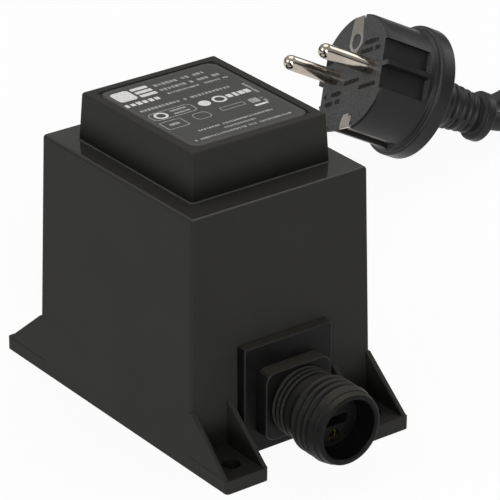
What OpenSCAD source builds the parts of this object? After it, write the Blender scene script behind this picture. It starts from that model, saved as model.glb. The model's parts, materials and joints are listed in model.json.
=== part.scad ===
// Potted mains transformer in a moulded housing, with four screw lugs at its foot, a threaded
// low-voltage socket on its front end and a mains lead with an earthed plug on its back end.
// Millimetres. +X points out of the socket, +Z up. The origin is in the middle of the four
// screw holes, on the base plane.

/* [Housing] */
// Length of the main housing at its foot, along X
housing_length = 69.2; // [66:0.1:74]
// Width of the main housing at its foot, along Y
housing_width = 59.6; // [57:0.1:64]
// Height of the main housing up to the ledge
housing_height = 70; // [66:0.5:76]
// How far each end wall leans in from foot to ledge
end_draft = 1.05; // [0.5:0.05:2]
// How far each side wall leans in from foot to ledge
side_draft = 1.75; // [1:0.05:2.4]
// Wall thickness of the housing
wall = 2.2; // [1.9:0.1:2.5]
// Rounding of the upright edges and of the ledge's edge
edge_r = 1; // [0.6:0.1:1.4]

/* [Raised block] */
// Length of the raised block at the ledge, along X
block_length = 50.6; // [49.8:0.1:54]
// Width of the raised block at the ledge, along Y
block_width = 44.4; // [42.8:0.1:47]
// Height of the raised block above the ledge
block_height = 13.4; // [12:0.1:17]
// How far each end of the block leans in
block_end_draft = 0.8; // [0.1:0.1:0.9]
// How far each side of the block leans in
block_side_draft = 0.6; // [0.2:0.1:0.9]
// Rounding of the block's edges
block_edge_r = 0.8; // [0.5:0.1:1.2]
// Rim of plastic left round the label
label_margin = 2.75; // [2.2:0.05:4]
// Depth of the label's recess
label_recess = 0.6; // [0.45:0.05:0.8]
// Thickness of the label
label_thickness = 0.35; // [0.2:0.05:0.4]
// Corner radius of the label
label_corner_r = 3; // [2:0.25:5]

/* [Foot lugs] */
// Overall length across the lugs
lug_span = 101.2; // [98:0.2:108]
// Width of each lug, along Y
lug_width = 13.4; // [11:0.1:14]
// Thickness of each lug
lug_thickness = 3.7; // [3:0.1:5]
// Distance between the screw holes along X
hole_spacing_x = 86.8; // [84:0.2:88]
// Distance between the screw holes along Y
hole_spacing_y = 46.2; // [45:0.1:47]
// Diameter of each screw hole
screw_hole_d = 5; // [3.5:0.1:5.5]
// Height at which the lug's side ribs meet the end wall
rib_height = 16.4; // [12:0.2:20]
// Thickness of the lug's side ribs
rib_thickness = 1.4; // [1.2:0.1:2]

/* [Output socket] */
// Height of the socket's and the lead's axis above the base
connector_height = 14.6; // [14:0.1:15.5]
// Width of the plate that slides into the end wall
plate_width = 28.4; // [27:0.1:30]
// Height of that plate
plate_height = 30.9; // [30:0.1:34]
// How far the plate stands out of the wall's foot
plate_stand = 2.6; // [2:0.1:4]
// Width of the raised pad on the plate
pad_width = 21; // [20:0.1:23]
// Height of the raised pad
pad_height = 19.6; // [19:0.1:21]
// Thickness of the raised pad
pad_thickness = 4.4; // [3:0.1:6]
// Corner radius of the raised pad
pad_corner_r = 3; // [2:0.25:5]
// Length of the neck in front of the pad, from the pad to the mouth
neck_length = 21.5; // [21:0.1:24]
// Radius of the neck between its fine rings
neck_r = 8.9; // [8.8:0.05:9.2]
// Radius over the fine rings behind the thread
fine_ring_r = 9.25; // [9.1:0.05:9.4]
// Radius of the neck's core under the thread
thread_core_r = 10.15; // [9.9:0.05:10.3]
// Radius over the thread's ridges
thread_r = 10.7; // [10.5:0.05:10.9]
// Distance from one thread ridge to the next
thread_pitch = 2.3; // [2.2:0.05:2.4]
// Number of thread ridges
thread_ridges = 3; // [2:1:3]
// Radius over the smooth ring in front of the thread
mouth_ring_r = 10.8; // [10.7:0.05:11]
// Length of the smooth ring
mouth_ring_length = 2.9; // [2.4:0.1:3]
// Radius of the lip in front of the smooth ring
lip_r = 9.55; // [9.4:0.05:9.9]
// Length of the lip
lip_length = 2; // [1.5:0.1:2.2]
// Inner radius of the mouth
mouth_r = 8.25; // [8:0.05:8.5]
// Depth of the mouth down to the insert's face
mouth_depth = 6.5; // [5:0.1:8]
// Radius of the insert that carries the contacts
insert_r = 7.3; // [6.8:0.05:7.5]
// Distance of each contact from the socket's axis
contact_offset = 4.3; // [4:0.05:4.6]

/* [Wound core] */
// Gap between the wall of the raised block and the lamination's ends, along X
core_end_gap = 1.3; // [0.9:0.1:1.8]
// Gap between the wall of the raised block and the lamination's sides, along Y
core_side_gap = 1.9; // [1.5:0.1:2.4]
// Height of the lamination stack
stack_height = 14.8; // [12:0.1:17]
// Width of the centre leg
leg_width = 14; // [13:0.1:14]
// Wall of the bobbin
bobbin_wall = 0.8; // [0.6:0.05:1]
// Gap between each winding's tape and the lamination's outer leg
winding_gap = 1.1; // [1:0.1:2.6]

/* [Mains lead] */
// Diameter of the lead
cord_d = 6.2; // [5.6:0.1:6.6]
// Turns in the coil
coil_turns = 5.25; // [5.25:1:7.25]
// Free space between neighbouring turns
turn_gap = 0.6; // [0.5:0.05:1]
// Diameter of the coil at the middle of its turns
coil_mid_d = 68; // [64:1:72]
// Length of the tapered strain relief on the housing
boot_length = 20; // [20:0.5:24]

/* [Plug] */
// Diameter of the plug's front body
plug_d = 37.8; // [37:0.1:38]
// Length of the plug's front body
plug_length = 19; // [18:0.1:20]
// Diameter of the plug's grip ring
grip_d = 41.8; // [41:0.1:43]
// Thickness of the grip ring
grip_length = 5; // [4:0.1:6]
// Length of the plug's tail behind the grip ring
tail_length = 26; // [24:0.5:30]
// Diameter of the collar at the tail's end
tail_collar_d = 16; // [15:0.1:17]
// Diameter of the pins
pin_d = 4.8; // [4.7:0.05:4.85]
// Length of the pins in front of the plug's face
pin_length = 19; // [18.5:0.1:19.5]
// Distance between the pins
pin_spacing = 19; // [18.8:0.1:19.2]

/* [Hidden] */
// Clearance between pieces that seat in each other
fit_gap = 0.15;
// Overrun of every cut past the face that it opens
overrun = 1;
// Thickness of the slices that a hull is stretched over
slice = 0.01;
// Smoothness of the rounded housing edges
edge_faces = 24;
$fn = 64;

// Half sizes and levels of the housing
half_length = housing_length / 2;
half_width = housing_width / 2;
total_height = housing_height + block_height;
label_floor = total_height - label_recess;
ceiling = label_floor - wall;
fill_level = 1.5;

// Label
recess_length = block_length - 2 * (block_end_draft + label_margin);
recess_width = block_width - 2 * (block_side_draft + label_margin);
label_gap = 0.4;

// Lugs
side_lean = atan(side_draft / housing_height);
lug_inset = half_width - lug_width / 2;
lug_corner_r = 1;

// Output socket, along X from the wall outwards
plate_front = half_length + plate_stand;
pad_front = plate_front + pad_thickness;
mouth_x = pad_front + neck_length;
insert_face = mouth_x - mouth_depth;
groove_depth = 6.6;
groove_floor = insert_face - groove_depth;
wall_lean = end_draft * plate_height / housing_height;
seat_depth_share = 0.1;
plate_back = half_length - wall_lean - seat_depth_share * wall;
flange_thickness = 2.4;
flange_front = half_length - wall - wall_lean;
flange_back = flange_front - flange_thickness;
flange_width = plate_width - flange_thickness / 2;
flange_height = plate_height - flange_thickness / 3;
notch_width = 22;
notch_height = 27.7;
pocket_floor = flange_front + flange_thickness;
tail_room_r = 5.8;
fine_ring_size = 0.62;
fine_ring_pitch = 1.75;
fine_rings = 3;
fine_ring_first = pad_front + fine_ring_pitch / 2;
waist_r = 9.15;
thread_size = 0.95;
thread_lead_in = 1.6;
thread_run_out = 1.4;
ring_end = mouth_x - lip_length;
ring_start = ring_end - mouth_ring_length;
thread_first = ring_start - thread_run_out - thread_pitch * (thread_ridges - 1);
cone_end = thread_first - thread_lead_in;
cone_length = 3.2;
ring_edge_r = 0.7;
lip_edge_r = 0.5;
bore_step = 0.2;
groove_r = mouth_r - bore_step;
slot_length = 8.4;
slot_width = 2.6;
slot_depth = 5;
slot_corner_share = 0.4;
contact_hole_r = 1.75;
contact_r = 1.5;
contact_bore_r = 1.1;
contact_set_back = 1.2;
contact_length = 14;
contact_back = insert_face - contact_set_back - contact_length;
contact_bore_depth = 8;
contact_tail_r = 0.7;
contact_tail_reach = 1.2;
contact_tail_end = flange_back - contact_tail_reach;

// Mains entry on the back wall
entry_plate_width = 20;
entry_plate_height = 26;
entry_plate_stand = 2.4;
entry_notch_width = 14;
entry_notch_height = 22;
entry_face = half_length + entry_plate_stand;
boot_r = 6.6;
boot_tip_r = 4.6;
boot_tip = entry_face + boot_length;
boot_grooves = 3;
groove_width = 1.6;
groove_cut = 0.9;
sheath_reach = 3;
sheath_end = flange_back - sheath_reach;

// Wound core, from the ceiling of the raised block down
bobbin_clearance = 0.3;
tape_thickness = 0.3;
core_length = block_length - 2 * (block_end_draft + wall + core_end_gap);
core_width = block_width - 2 * (block_side_draft + wall + core_side_gap);
window_width = (core_length - 2 * leg_width) / 2;
winding_depth = window_width - bobbin_clearance - bobbin_wall - tape_thickness - winding_gap;
back_width = leg_width / 2;
window_length = core_width - 2 * back_width;
tube_half_x = leg_width / 2 + bobbin_clearance + bobbin_wall;
tube_half_z = stack_height / 2 + bobbin_clearance + bobbin_wall;
bobbin_half_x = leg_width / 2 + window_width - fit_gap;
flange_rise = 1.5;
bobbin_half_z = tube_half_z + winding_depth + flange_rise;
bobbin_half_y = window_length / 2 - fit_gap;
core_z = ceiling - bobbin_half_z;
chamber_start = bobbin_wall / 2 + fit_gap;
chamber_end = bobbin_half_y - bobbin_wall - fit_gap;
winding_corner_r = 2;
core_hole_d = 3.5;
core_hole_inset = back_width / 2;
rail_length = 6;
rail_height = 5;
rail_top = core_z - bobbin_half_z + rail_height;
rail_y = bobbin_half_y + rail_length / 2;
pin_side = 0.8;
terminal_length = 7.6;
terminal_reach = 4.6;
terminal_bottom = core_z - bobbin_half_z - terminal_reach;
terminal_pitch = 5;
terminals_per_side = 5;
fuse_size = [7, 4, 2];
fuse_lead_r = 0.3;
fuse_lead_length = 4;
fuse_y = (chamber_start + chamber_end) / 2;
fuse_top = core_z - tube_half_z - winding_depth - tape_thickness;

// Earth terminal on the core's corner, and its screw
earth_x = core_hole_inset - core_length / 2;
earth_y = core_hole_inset - core_width / 2;
tag_r = 3.4;
tag_thickness = 0.8;
screw_r = 1.6;
screw_head_r = 2.8;
screw_head_height = 2;

// Inner wires
wire_r = 1;
wire_sides = 8;
wire_steps = 3;
core_wire_spread = 1.7;
core_wire_drop = 1;
wire_drop = 12;
output_drop = 14;
live_low = [10, 22];
live_turn = 12;
live_run = 20;
neutral_low = [0, 24];
neutral_turn = 6;
neutral_run = 18;
earth_drop = 10;
earth_low = 26;
earth_turn = [18, 10, 13];
earth_run = [20, 22];
output_low_a = [6, 28];
output_run_a = [12, 22];
output_low_b = [2, 18];
output_turn_b = [6, 2];
output_run_b = 18;

// Mains lead, coil and tie
cord_r = cord_d / 2;
cord_sides = 8;
cord_steps = 2;
loop_sides = 6;
loop_rings = 24;
tie_thickness = 0.8;
tie_gap = 0.3;
tie_width = 9;
tie_angle = 20;
tie_corner_r = 2.5;
tie_end_share = 1 / 3;
turn_pitch = cord_d + turn_gap;
coil_x = -84;
coil_y = 66;
coil_z = tie_thickness + tie_gap + cord_r;
coil_start_angle = -120;
climb_turns = 0.5;

// Plug on the floor, resting on its grip ring and its tail's collar
plug_x = -93;
plug_y = 125;
plug_heading = -105;
plug_roll = 33;
grip_end = plug_length + grip_length;
plug_end = grip_end + tail_length;
plug_tilt = atan((grip_d - tail_collar_d) / 2 / tail_length);
plug_z = grip_end * sin(plug_tilt) + grip_d / 2 * cos(plug_tilt);
plug_point = [cos(plug_heading) * cos(plug_tilt), sin(plug_heading) * cos(plug_tilt), sin(plug_tilt)];
cord_end = [plug_x, plug_y, plug_z] - plug_end * plug_point;
plug_edge = 0.8;
shoulder_step = 1.3;
shoulder_r = grip_d / 2 - shoulder_step;
shoulder_length = 1.4;
tail_root_r = 8.3;
tail_neck_r = 7.2;
tail_tip_r = 5.9;
tail_smooth_share = 0.38;
collar_length = 3.4;
tail_slots = 5;
tail_slot_width = 1;
tail_slot_depth = 2.2;
pin_root = 12;
pin_root_d = 4;
clip_width = 5;
clip_thickness = 0.8;
clip_reach = 4.6;
clip_channel_width = 6;
clip_channel_depth = 2.4;
guide_width = 8;
guide_depth = 3.2;
guide_length_share = 0.85;
guide_rib_width = 1.6;
earth_hole_r = 2.5;
earth_hole_offset = 10;
earth_sleeve_r = 3.1;
earth_sleeve_length = 12;
earth_sleeve_floor = 2;

// Route of the lead from the strain relief down to the floor behind the housing
entry_route = [
    [-63, 0, 14.6], [-74.5, 2.5, 12.6], [-84.5, 9, 8.6], [-90, 14.5, 5.8], [-95.5, 20.5, 4.3]
];
// Route of the lead from the coil, round behind the plug and back into its tail
tail_route = [
    [-117, 101, 8.9], [-116.5, 111, 6.4], [-116.5, 121, 4.3], [-115, 131, 3.2],
    [-111, 141, 3.1], [-105, 150, 3.1], [-99, 160, 3.1], [-95, 171, 3.1], [-94, 183, 3.1],
    [-97, 195, 3.1], [-104, 205, 3.1], [-112, 214, 3.1], [-120, 224, 3.1], [-124, 236, 3.1],
    [-122, 249, 3.1], [-114, 260, 3.1], [-102, 266, 3.1], [-88, 267, 3.1], [-75, 262, 3.1],
    [-66, 251, 3.1], [-62, 238, 3.1], [-63, 224, 3.1], [-67, 211, 3.1], [-71, 199, 3.3],
    [-75, 187.5, 4.1]
];

// A point of the smooth curve that four neighbouring route points pull on
function curve_point(a, b, c, d, t) =
    (a * pow(1 - t, 3) + b * (3 * pow(t, 3) - 6 * t * t + 4)
        + c * (3 * t + 3 * t * t - 3 * pow(t, 3) + 1) + d * pow(t, 3)) / 6;

// The smooth curve along a route, which starts and ends on the route's own ends
function smooth(route, steps) =
    let(
        last = len(route) - 1,
        points = concat([2 * route[0] - route[1]], route, [2 * route[last] - route[last - 1]])
    )
    concat(
        [for (i = [1:last], k = [0:steps - 1])
            curve_point(points[i - 1], points[i], points[i + 1], points[i + 2], k / steps)],
        [route[last]]
    );

function unit(v) = v / norm(v);

// The way a tube points at each point of its path, with its two end faces turned as given
function tube_ways(path, start_way, end_way) =
    let(last = len(path) - 1)
    [for (i = [0:last])
        i == 0 ? start_way : i == last ? end_way : unit(path[i + 1] - path[i - 1])];
function square_to(side, along) = unit(side - (side * along) * along);
function first_side(along) = square_to(abs(along.z) > 0.9 ? [0, 1, 0] : [0, 0, 1], along);

// One side vector for each ring of a tube, carried along without twist
function tube_sides(ways) =
    [for (
        i = 0, side = first_side(ways[0]);
        i < len(ways);
        i = i + 1, side = i < len(ways) ? square_to(side, ways[i]) : side
    ) side];

// Radius, height and place of the coil's centre line after some turns
function coil_radius(turn) =
    coil_mid_d / 2 + turn_pitch * (abs(turn - coil_turns / 2) - coil_turns / 4);
function ease(u) = u * u * (3 - 2 * u);
function coil_climb(turn) =
    ease(min(max((turn - coil_turns / 2) / climb_turns + 1 / 2, 0), 1));
function coil_point(turn) =
    let(angle = coil_start_angle - 360 * turn)
    [
        coil_x + coil_radius(turn) * cos(angle),
        coil_y + coil_radius(turn) * sin(angle),
        coil_z + turn_pitch * coil_climb(turn)
    ];

loop_points = [for (k = [0:loop_rings * coil_turns]) coil_point(k / loop_rings)];
loop_last = len(loop_points) - 1;
coil_in = loop_points[0] + cord_d * unit(loop_points[0] - loop_points[1]);
coil_out = loop_points[loop_last] + cord_d * unit(loop_points[loop_last] - loop_points[loop_last - 1]);
coil_path = concat([coil_in], loop_points, [coil_out]);
coil_start_way = unit(loop_points[0] - coil_in);
coil_end_way = unit(coil_out - loop_points[loop_last]);
loop_gaps = [for (i = [0:loop_last], j = [i + loop_rings / 2:loop_last])
    norm(loop_points[i] - loop_points[j]) - cord_d];
boot_exit = [-boot_tip, 0, connector_height];
entry_path = smooth(concat([boot_exit], entry_route, [coil_in]), cord_steps);
tail_path = smooth(
    concat([coil_out], tail_route, [cord_end - cord_d * plug_point, cord_end]), cord_steps
);
function path_length(path) =
    [for (i = 0, sum = 0; i < len(path); i = i + 1, sum = i < len(path)
        ? sum + norm(path[i] - path[i - 1]) : sum) sum][len(path) - 1];
echo(least_coil_gap = min(loop_gaps));
echo(lead_length = path_length(entry_path) + path_length(coil_path) + path_length(tail_path));

// One unbroken tube along a path
module tube(path, radius, sides, start_way, end_way) {
    ways = tube_ways(path, start_way, end_way);
    side_vectors = tube_sides(ways);
    rings = len(path);
    points = [for (i = [0:rings - 1], k = [0:sides - 1])
        let(
            side = side_vectors[i],
            lift = cross(ways[i], side)
        )
        path[i] + radius * (cos(360 * k / sides) * side + sin(360 * k / sides) * lift)];
    skin = [for (i = [0:rings - 2], k = [0:sides - 1], half = [0, 1])
        let(a = i * sides + k, b = i * sides + (k + 1) % sides)
        half == 0 ? [a, a + sides, b] : [b, a + sides, b + sides]];
    first_end = [for (k = [0:sides - 1]) k];
    last_end = [for (k = [sides - 1:-1:0]) (rings - 1) * sides + k];
    polyhedron(points, concat([first_end], skin, [last_end]));
}

// Copies at the four corners of a rectangle
module corners(half_x, half_y) {
    for (x = [-half_x, half_x], y = [-half_y, half_y]) {
        translate([x, y, 0]) children();
    }
}

// Mirror image added along one axis
module both(axis) {
    children();
    mirror(axis) children();
}

// Upper half of a rounded corner
module dome(r) {
    rotate_extrude($fn = edge_faces) intersection() {
        circle(r, $fn = edge_faces);
        square(r);
    }
}

// Block whose walls lean in, with rounded upright edges and a rounded top edge
module leaning_block(half_x, half_y, lean_x, lean_y, height, r) {
    hull() {
        corners(half_x - r, half_y - r) cylinder(h = slice, r = r, $fn = edge_faces);
        translate([0, 0, height - r]) corners(half_x - lean_x - r, half_y - lean_y - r) dome(r);
    }
}

// Plate in the XY plane with rounded corners
module rounded_plate(length, width, thickness, r) {
    linear_extrude(thickness) rounded_rectangle(length, width, r);
}

module rounded_rectangle(length, width, r) {
    square([length - 2 * r, width], center = true);
    square([length, width - 2 * r], center = true);
    for (x = [-1, 1], y = [-1, 1]) {
        translate([x * (length / 2 - r), y * (width / 2 - r)]) circle(r);
    }
}

// Plate standing in the YZ plane, its back at x = 0, rounded at its corners
module upright_plate(width, height, thickness, r) {
    rotate([90, 0, 90]) rounded_plate(width, height, thickness, r);
}

module box_between(low, high) {
    translate(low) cube(high - low);
}

module lug() {
    inner = half_length - wall;
    reach = lug_span / 2 - inner;
    difference() {
        translate([inner + reach / 2, lug_inset, 0])
            rounded_plate(reach, lug_width, lug_thickness, lug_corner_r);
        translate([hole_spacing_x / 2, hole_spacing_y / 2, -overrun])
            cylinder(h = lug_thickness + 2 * overrun, d = screw_hole_d);
    }
}

// Triangular rib from the end wall down to the lug's tip
module rib() {
    inner = half_length - wall;
    base = lug_thickness / 2;
    rotate([90, 0, 0]) linear_extrude(rib_thickness) polygon([
        [inner, base], [lug_span / 2 - lug_corner_r, base],
        [lug_span / 2 - lug_corner_r, lug_thickness], [half_length, rib_height], [inner, rib_height]
    ]);
}

module lug_with_ribs() {
    lug();
    translate([0, half_width, 0]) rotate([side_lean, 0, 0]) rib();
    translate([0, half_width - lug_width + rib_thickness, 0]) rib();
}

// Notch for a part that slides into an end wall from below, and its seat in the wall's face
module wall_notch(width, height, seat_width, seat_height, back) {
    box_between(
        [half_length - wall - end_draft - overrun, -width / 2, -overrun],
        [half_length + overrun, width / 2, height]
    );
    box_between(
        [back, -seat_width / 2 - fit_gap, -overrun],
        [half_length + overrun, seat_width / 2 + fit_gap, seat_height + fit_gap]
    );
}

module housing_inside(gap) {
    inset = wall + gap;
    leaning_block(
        half_length - inset, half_width - inset, end_draft, side_draft,
        housing_height - inset, edge_r
    );
    translate([0, 0, housing_height - wall - edge_r]) leaning_block(
        block_length / 2 - inset, block_width / 2 - inset, block_end_draft, block_side_draft,
        ceiling - gap - housing_height + wall + edge_r, block_edge_r
    );
}

module housing() {
    color([0.2, 0.2, 0.195]) difference() {
        union() {
            leaning_block(half_length, half_width, end_draft, side_draft, housing_height, edge_r);
            translate([0, 0, housing_height - edge_r]) leaning_block(
                block_length / 2, block_width / 2, block_end_draft, block_side_draft,
                block_height + edge_r, block_edge_r
            );
            both([1, 0, 0]) both([0, 1, 0]) lug_with_ribs();
        }
        housing_inside(0);
        translate([0, 0, -overrun]) leaning_block(
            half_length - wall, half_width - wall, 0, 0, 2 * overrun, edge_r
        );
        wall_notch(notch_width, notch_height, plate_width, plate_height, plate_back);
        rotate([0, 0, 180]) wall_notch(
            entry_notch_width, entry_notch_height, entry_plate_width, entry_plate_height, plate_back
        );
        translate([0, 0, label_floor])
            rounded_plate(recess_length, recess_width, label_recess + overrun, label_corner_r);
    }
}

module rating_label() {
    color([0.16, 0.16, 0.165]) translate([0, 0, label_floor]) rounded_plate(
        recess_length - 2 * label_gap, recess_width - 2 * label_gap,
        label_thickness, label_corner_r
    );
}

// Cut-out of a shape that is turned about the socket's axis, drawn as radius and distance
module turned_on_axis() {
    translate([0, 0, connector_height]) rotate([90, 0, 90]) rotate_extrude() children();
}

// Ring of the given radius, length and edge rounding that ends at end_x
module ring_profile(r, end_x, length, edge) {
    translate([0, end_x - length]) square([r - edge, length]);
    translate([0, end_x - length + edge]) square([r, length - 2 * edge]);
    for (x = [end_x - length + edge, end_x - edge]) {
        translate([r - edge, x]) circle(edge);
    }
}

module neck_profile() {
    polygon([
        [0, pad_front - overrun], [neck_r, pad_front - overrun],
        [neck_r, fine_ring_first + (fine_rings - 1 / 2) * fine_ring_pitch],
        [waist_r, fine_ring_first + (fine_rings - 1 / 2) * fine_ring_pitch + waist_r - neck_r],
        [waist_r, cone_end - cone_length], [thread_core_r, cone_end],
        [thread_core_r, ring_start + ring_edge_r], [0, ring_start + ring_edge_r]
    ]);
    for (i = [0:fine_rings - 1]) {
        translate([fine_ring_r - fine_ring_size, fine_ring_first + i * fine_ring_pitch])
            circle(fine_ring_size);
    }
    for (i = [0:thread_ridges - 1]) {
        translate([thread_r - thread_size, thread_first + i * thread_pitch]) circle(thread_size);
    }
    ring_profile(mouth_ring_r, ring_end, mouth_ring_length, ring_edge_r);
    ring_profile(lip_r, mouth_x, lip_length + mouth_ring_length / 2, lip_edge_r);
}

module output_socket() {
    color([0.19, 0.19, 0.185]) difference() {
        union() {
            box_between(
                [plate_back, -plate_width / 2, 0], [plate_front, plate_width / 2, plate_height]
            );
            box_between(
                [flange_front - flange_thickness / 2, fit_gap - notch_width / 2, 0],
                [plate_front, notch_width / 2 - fit_gap, notch_height - fit_gap]
            );
            box_between(
                [flange_back, -flange_width / 2, fill_level],
                [flange_front, flange_width / 2, flange_height]
            );
            translate([plate_front - plate_stand / 2, 0, connector_height])
                upright_plate(pad_width, pad_height, pad_thickness + plate_stand / 2, pad_corner_r);
            turned_on_axis() neck_profile();
        }
        turned_on_axis() translate([0, insert_face]) square([mouth_r, mouth_depth + overrun]);
        turned_on_axis() translate([0, groove_floor]) square([groove_r, groove_depth + overrun]);
        turned_on_axis() translate([0, pocket_floor])
            square([insert_r + fit_gap, groove_floor - pocket_floor + overrun]);
        turned_on_axis() translate([0, flange_back - overrun])
            square([tail_room_r, pocket_floor - flange_back + 2 * overrun]);
    }
}

// Both contacts lie one above the other, on the socket's axis
module at_contacts() {
    for (z = [-contact_offset, contact_offset]) {
        translate([0, 0, connector_height + z]) rotate([0, 90, 0]) children();
    }
}

module socket_insert() {
    color([0.14, 0.14, 0.14]) difference() {
        turned_on_axis() translate([0, pocket_floor]) square([insert_r, insert_face - pocket_floor]);
        translate([insert_face - slot_depth, 0, connector_height])
            upright_plate(slot_length, slot_width, slot_depth + overrun, slot_corner_share * slot_width);
        at_contacts() translate([0, 0, contact_back])
            cylinder(h = insert_face - contact_back + overrun, r = contact_hole_r);
        at_contacts() translate([0, 0, pocket_floor - overrun])
            cylinder(h = insert_face - pocket_floor, r = contact_tail_r + fit_gap);
    }
}

module socket_contacts() {
    color([0.78, 0.6, 0.26]) at_contacts() difference() {
        union() {
            translate([0, 0, contact_back]) cylinder(h = contact_length, r = contact_r);
            translate([0, 0, contact_tail_end])
                cylinder(h = contact_back - contact_tail_end + contact_r, r = contact_tail_r);
        }
        translate([0, 0, contact_back + contact_length - contact_bore_depth])
            cylinder(h = contact_bore_depth + overrun, r = contact_bore_r);
    }
}

// The back end's pieces are drawn pointing along +X and turned round
module at_back() {
    rotate([0, 0, 180]) children();
}

module boot_profile() {
    difference() {
        polygon([
            [0, entry_face - overrun], [boot_r, entry_face - overrun],
            [boot_r, entry_face + groove_width], [boot_tip_r, boot_tip - groove_width],
            [boot_tip_r, boot_tip], [0, boot_tip]
        ]);
        for (i = [1:boot_grooves]) {
            x = entry_face + groove_width + i * (boot_length - 2 * groove_width) / (boot_grooves + 1);
            share = (x - entry_face) / boot_length;
            translate([boot_r + (boot_tip_r - boot_r) * share - groove_cut, x - groove_width / 2])
                square([boot_r, groove_width]);
        }
    }
}

module cord_grommet() {
    color([0.12, 0.12, 0.12]) at_back() difference() {
        union() {
            box_between(
                [plate_back, -entry_plate_width / 2, 0],
                [entry_face, entry_plate_width / 2, entry_plate_height]
            );
            box_between(
                [flange_front - flange_thickness / 2, fit_gap - entry_notch_width / 2, 0],
                [entry_face, entry_notch_width / 2 - fit_gap, entry_notch_height - fit_gap]
            );
            box_between(
                [flange_back, -entry_plate_width / 2, fill_level],
                [flange_front, entry_plate_width / 2, entry_plate_height - fit_gap]
            );
            turned_on_axis() boot_profile();
        }
        turned_on_axis() translate([0, flange_back - overrun])
            square([cord_r + fit_gap, boot_tip - flange_back + 2 * overrun]);
    }
}

// End of the lead's sheath, which runs through the strain relief into the housing
module lead_sheath() {
    color([0.09, 0.09, 0.09]) at_back() turned_on_axis()
        translate([0, sheath_end]) square([cord_r, boot_tip - sheath_end]);
}

// Outline of an E lamination, its legs pointing along +Y from the back
module e_outline() {
    half = core_length / 2;
    outer_leg = half - window_width - leg_width / 2;
    translate([-half, -core_width / 2]) square([core_length, back_width]);
    for (x = [-half, half - outer_leg]) {
        translate([x, -core_width / 2]) square([outer_leg, core_width - back_width]);
    }
    translate([-leg_width / 2, -core_width / 2]) square([leg_width, core_width - back_width]);
}

module core_hole(x, y) {
    translate([x, y, -overrun]) cylinder(h = stack_height + 2 * overrun, d = core_hole_d);
}

module core_e_stack() {
    color([0.42, 0.43, 0.46]) translate([0, 0, core_z - stack_height / 2]) difference() {
        linear_extrude(stack_height) e_outline();
        for (x = [earth_x, -earth_x]) {
            core_hole(x, earth_y);
        }
    }
}

module core_i_stack() {
    color([0.42, 0.43, 0.46]) translate([0, 0, core_z - stack_height / 2]) difference() {
        translate([-core_length / 2, core_width / 2 - back_width, 0])
            cube([core_length, back_width, stack_height]);
        for (x = [earth_x, -earth_x]) {
            core_hole(x, -earth_y);
        }
    }
}

// Shape turned so that it is drawn in X and Z and runs along Y
module along_y(start, length) {
    translate([0, start + length, core_z]) rotate([90, 0, 0]) linear_extrude(length) children();
}

module at_terminals() {
    for (y = [-rail_y, rail_y], i = [0:terminals_per_side - 1]) {
        translate([(i - (terminals_per_side - 1) / 2) * terminal_pitch, y, 0]) children();
    }
}

module terminal(grow) {
    translate([-pin_side / 2 - grow, -pin_side / 2 - grow, terminal_bottom])
        cube([pin_side + 2 * grow, pin_side + 2 * grow, terminal_length]);
}

module bobbin() {
    color([0.2, 0.2, 0.22]) difference() {
        union() {
            along_y(-bobbin_half_y, 2 * bobbin_half_y)
                square([2 * tube_half_x, 2 * tube_half_z], center = true);
            for (y = [-bobbin_half_y, -bobbin_wall / 2, bobbin_half_y - bobbin_wall]) {
                along_y(y, bobbin_wall)
                    square([2 * bobbin_half_x, 2 * bobbin_half_z], center = true);
            }
            for (y = [-bobbin_half_y - rail_length, bobbin_half_y - bobbin_wall]) {
                translate([-bobbin_half_x, y, rail_top - rail_height])
                    cube([2 * bobbin_half_x, rail_length + bobbin_wall, rail_height]);
            }
        }
        along_y(-bobbin_half_y - overrun, 2 * (bobbin_half_y + overrun)) square(
            [leg_width + 2 * bobbin_clearance, stack_height + 2 * bobbin_clearance], center = true
        );
        at_terminals() terminal(0);
    }
}

module winding(start, depth_in, depth_out) {
    along_y(start, chamber_end - chamber_start) difference() {
        rounded_rectangle(
            2 * (tube_half_x + depth_out), 2 * (tube_half_z + depth_out), winding_corner_r
        );
        square([2 * (tube_half_x + depth_in), 2 * (tube_half_z + depth_in)], center = true);
    }
}

// Tape round a winding, with the winding's own rounded corners inside
module tape(start) {
    along_y(start, chamber_end - chamber_start) difference() {
        rounded_rectangle(
            2 * (tube_half_x + winding_depth + tape_thickness),
            2 * (tube_half_z + winding_depth + tape_thickness), winding_corner_r + tape_thickness
        );
        rounded_rectangle(
            2 * (tube_half_x + winding_depth), 2 * (tube_half_z + winding_depth), winding_corner_r
        );
    }
}

module primary_winding() {
    color([0.62, 0.3, 0.15]) winding(chamber_start, 0, winding_depth);
}

module secondary_winding() {
    color([0.68, 0.36, 0.18]) winding(-chamber_end, 0, winding_depth);
}

module primary_tape() {
    color([0.85, 0.76, 0.3]) tape(chamber_start);
}

module secondary_tape() {
    color([0.88, 0.86, 0.78]) tape(-chamber_end);
}

module fuse_shape(gap) {
    translate([-fuse_size.x / 2 - gap, fuse_y - fuse_size.y / 2 - gap, fuse_top - fuse_size.z - gap])
        cube([fuse_size.x + 2 * gap, fuse_size.y + 2 * gap, fuse_size.z + gap]);
    span = fuse_size.x + 2 * fuse_lead_length + 2 * gap;
    translate([-span / 2, fuse_y, fuse_top - fuse_size.z / 2])
        rotate([0, 90, 0]) cylinder(h = span, r = fuse_lead_r + gap);
}

module thermal_fuse() {
    color([0.82, 0.8, 0.74]) fuse_shape(0);
}

module terminal_pins() {
    color([0.75, 0.75, 0.72]) at_terminals() terminal(0);
}

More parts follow.
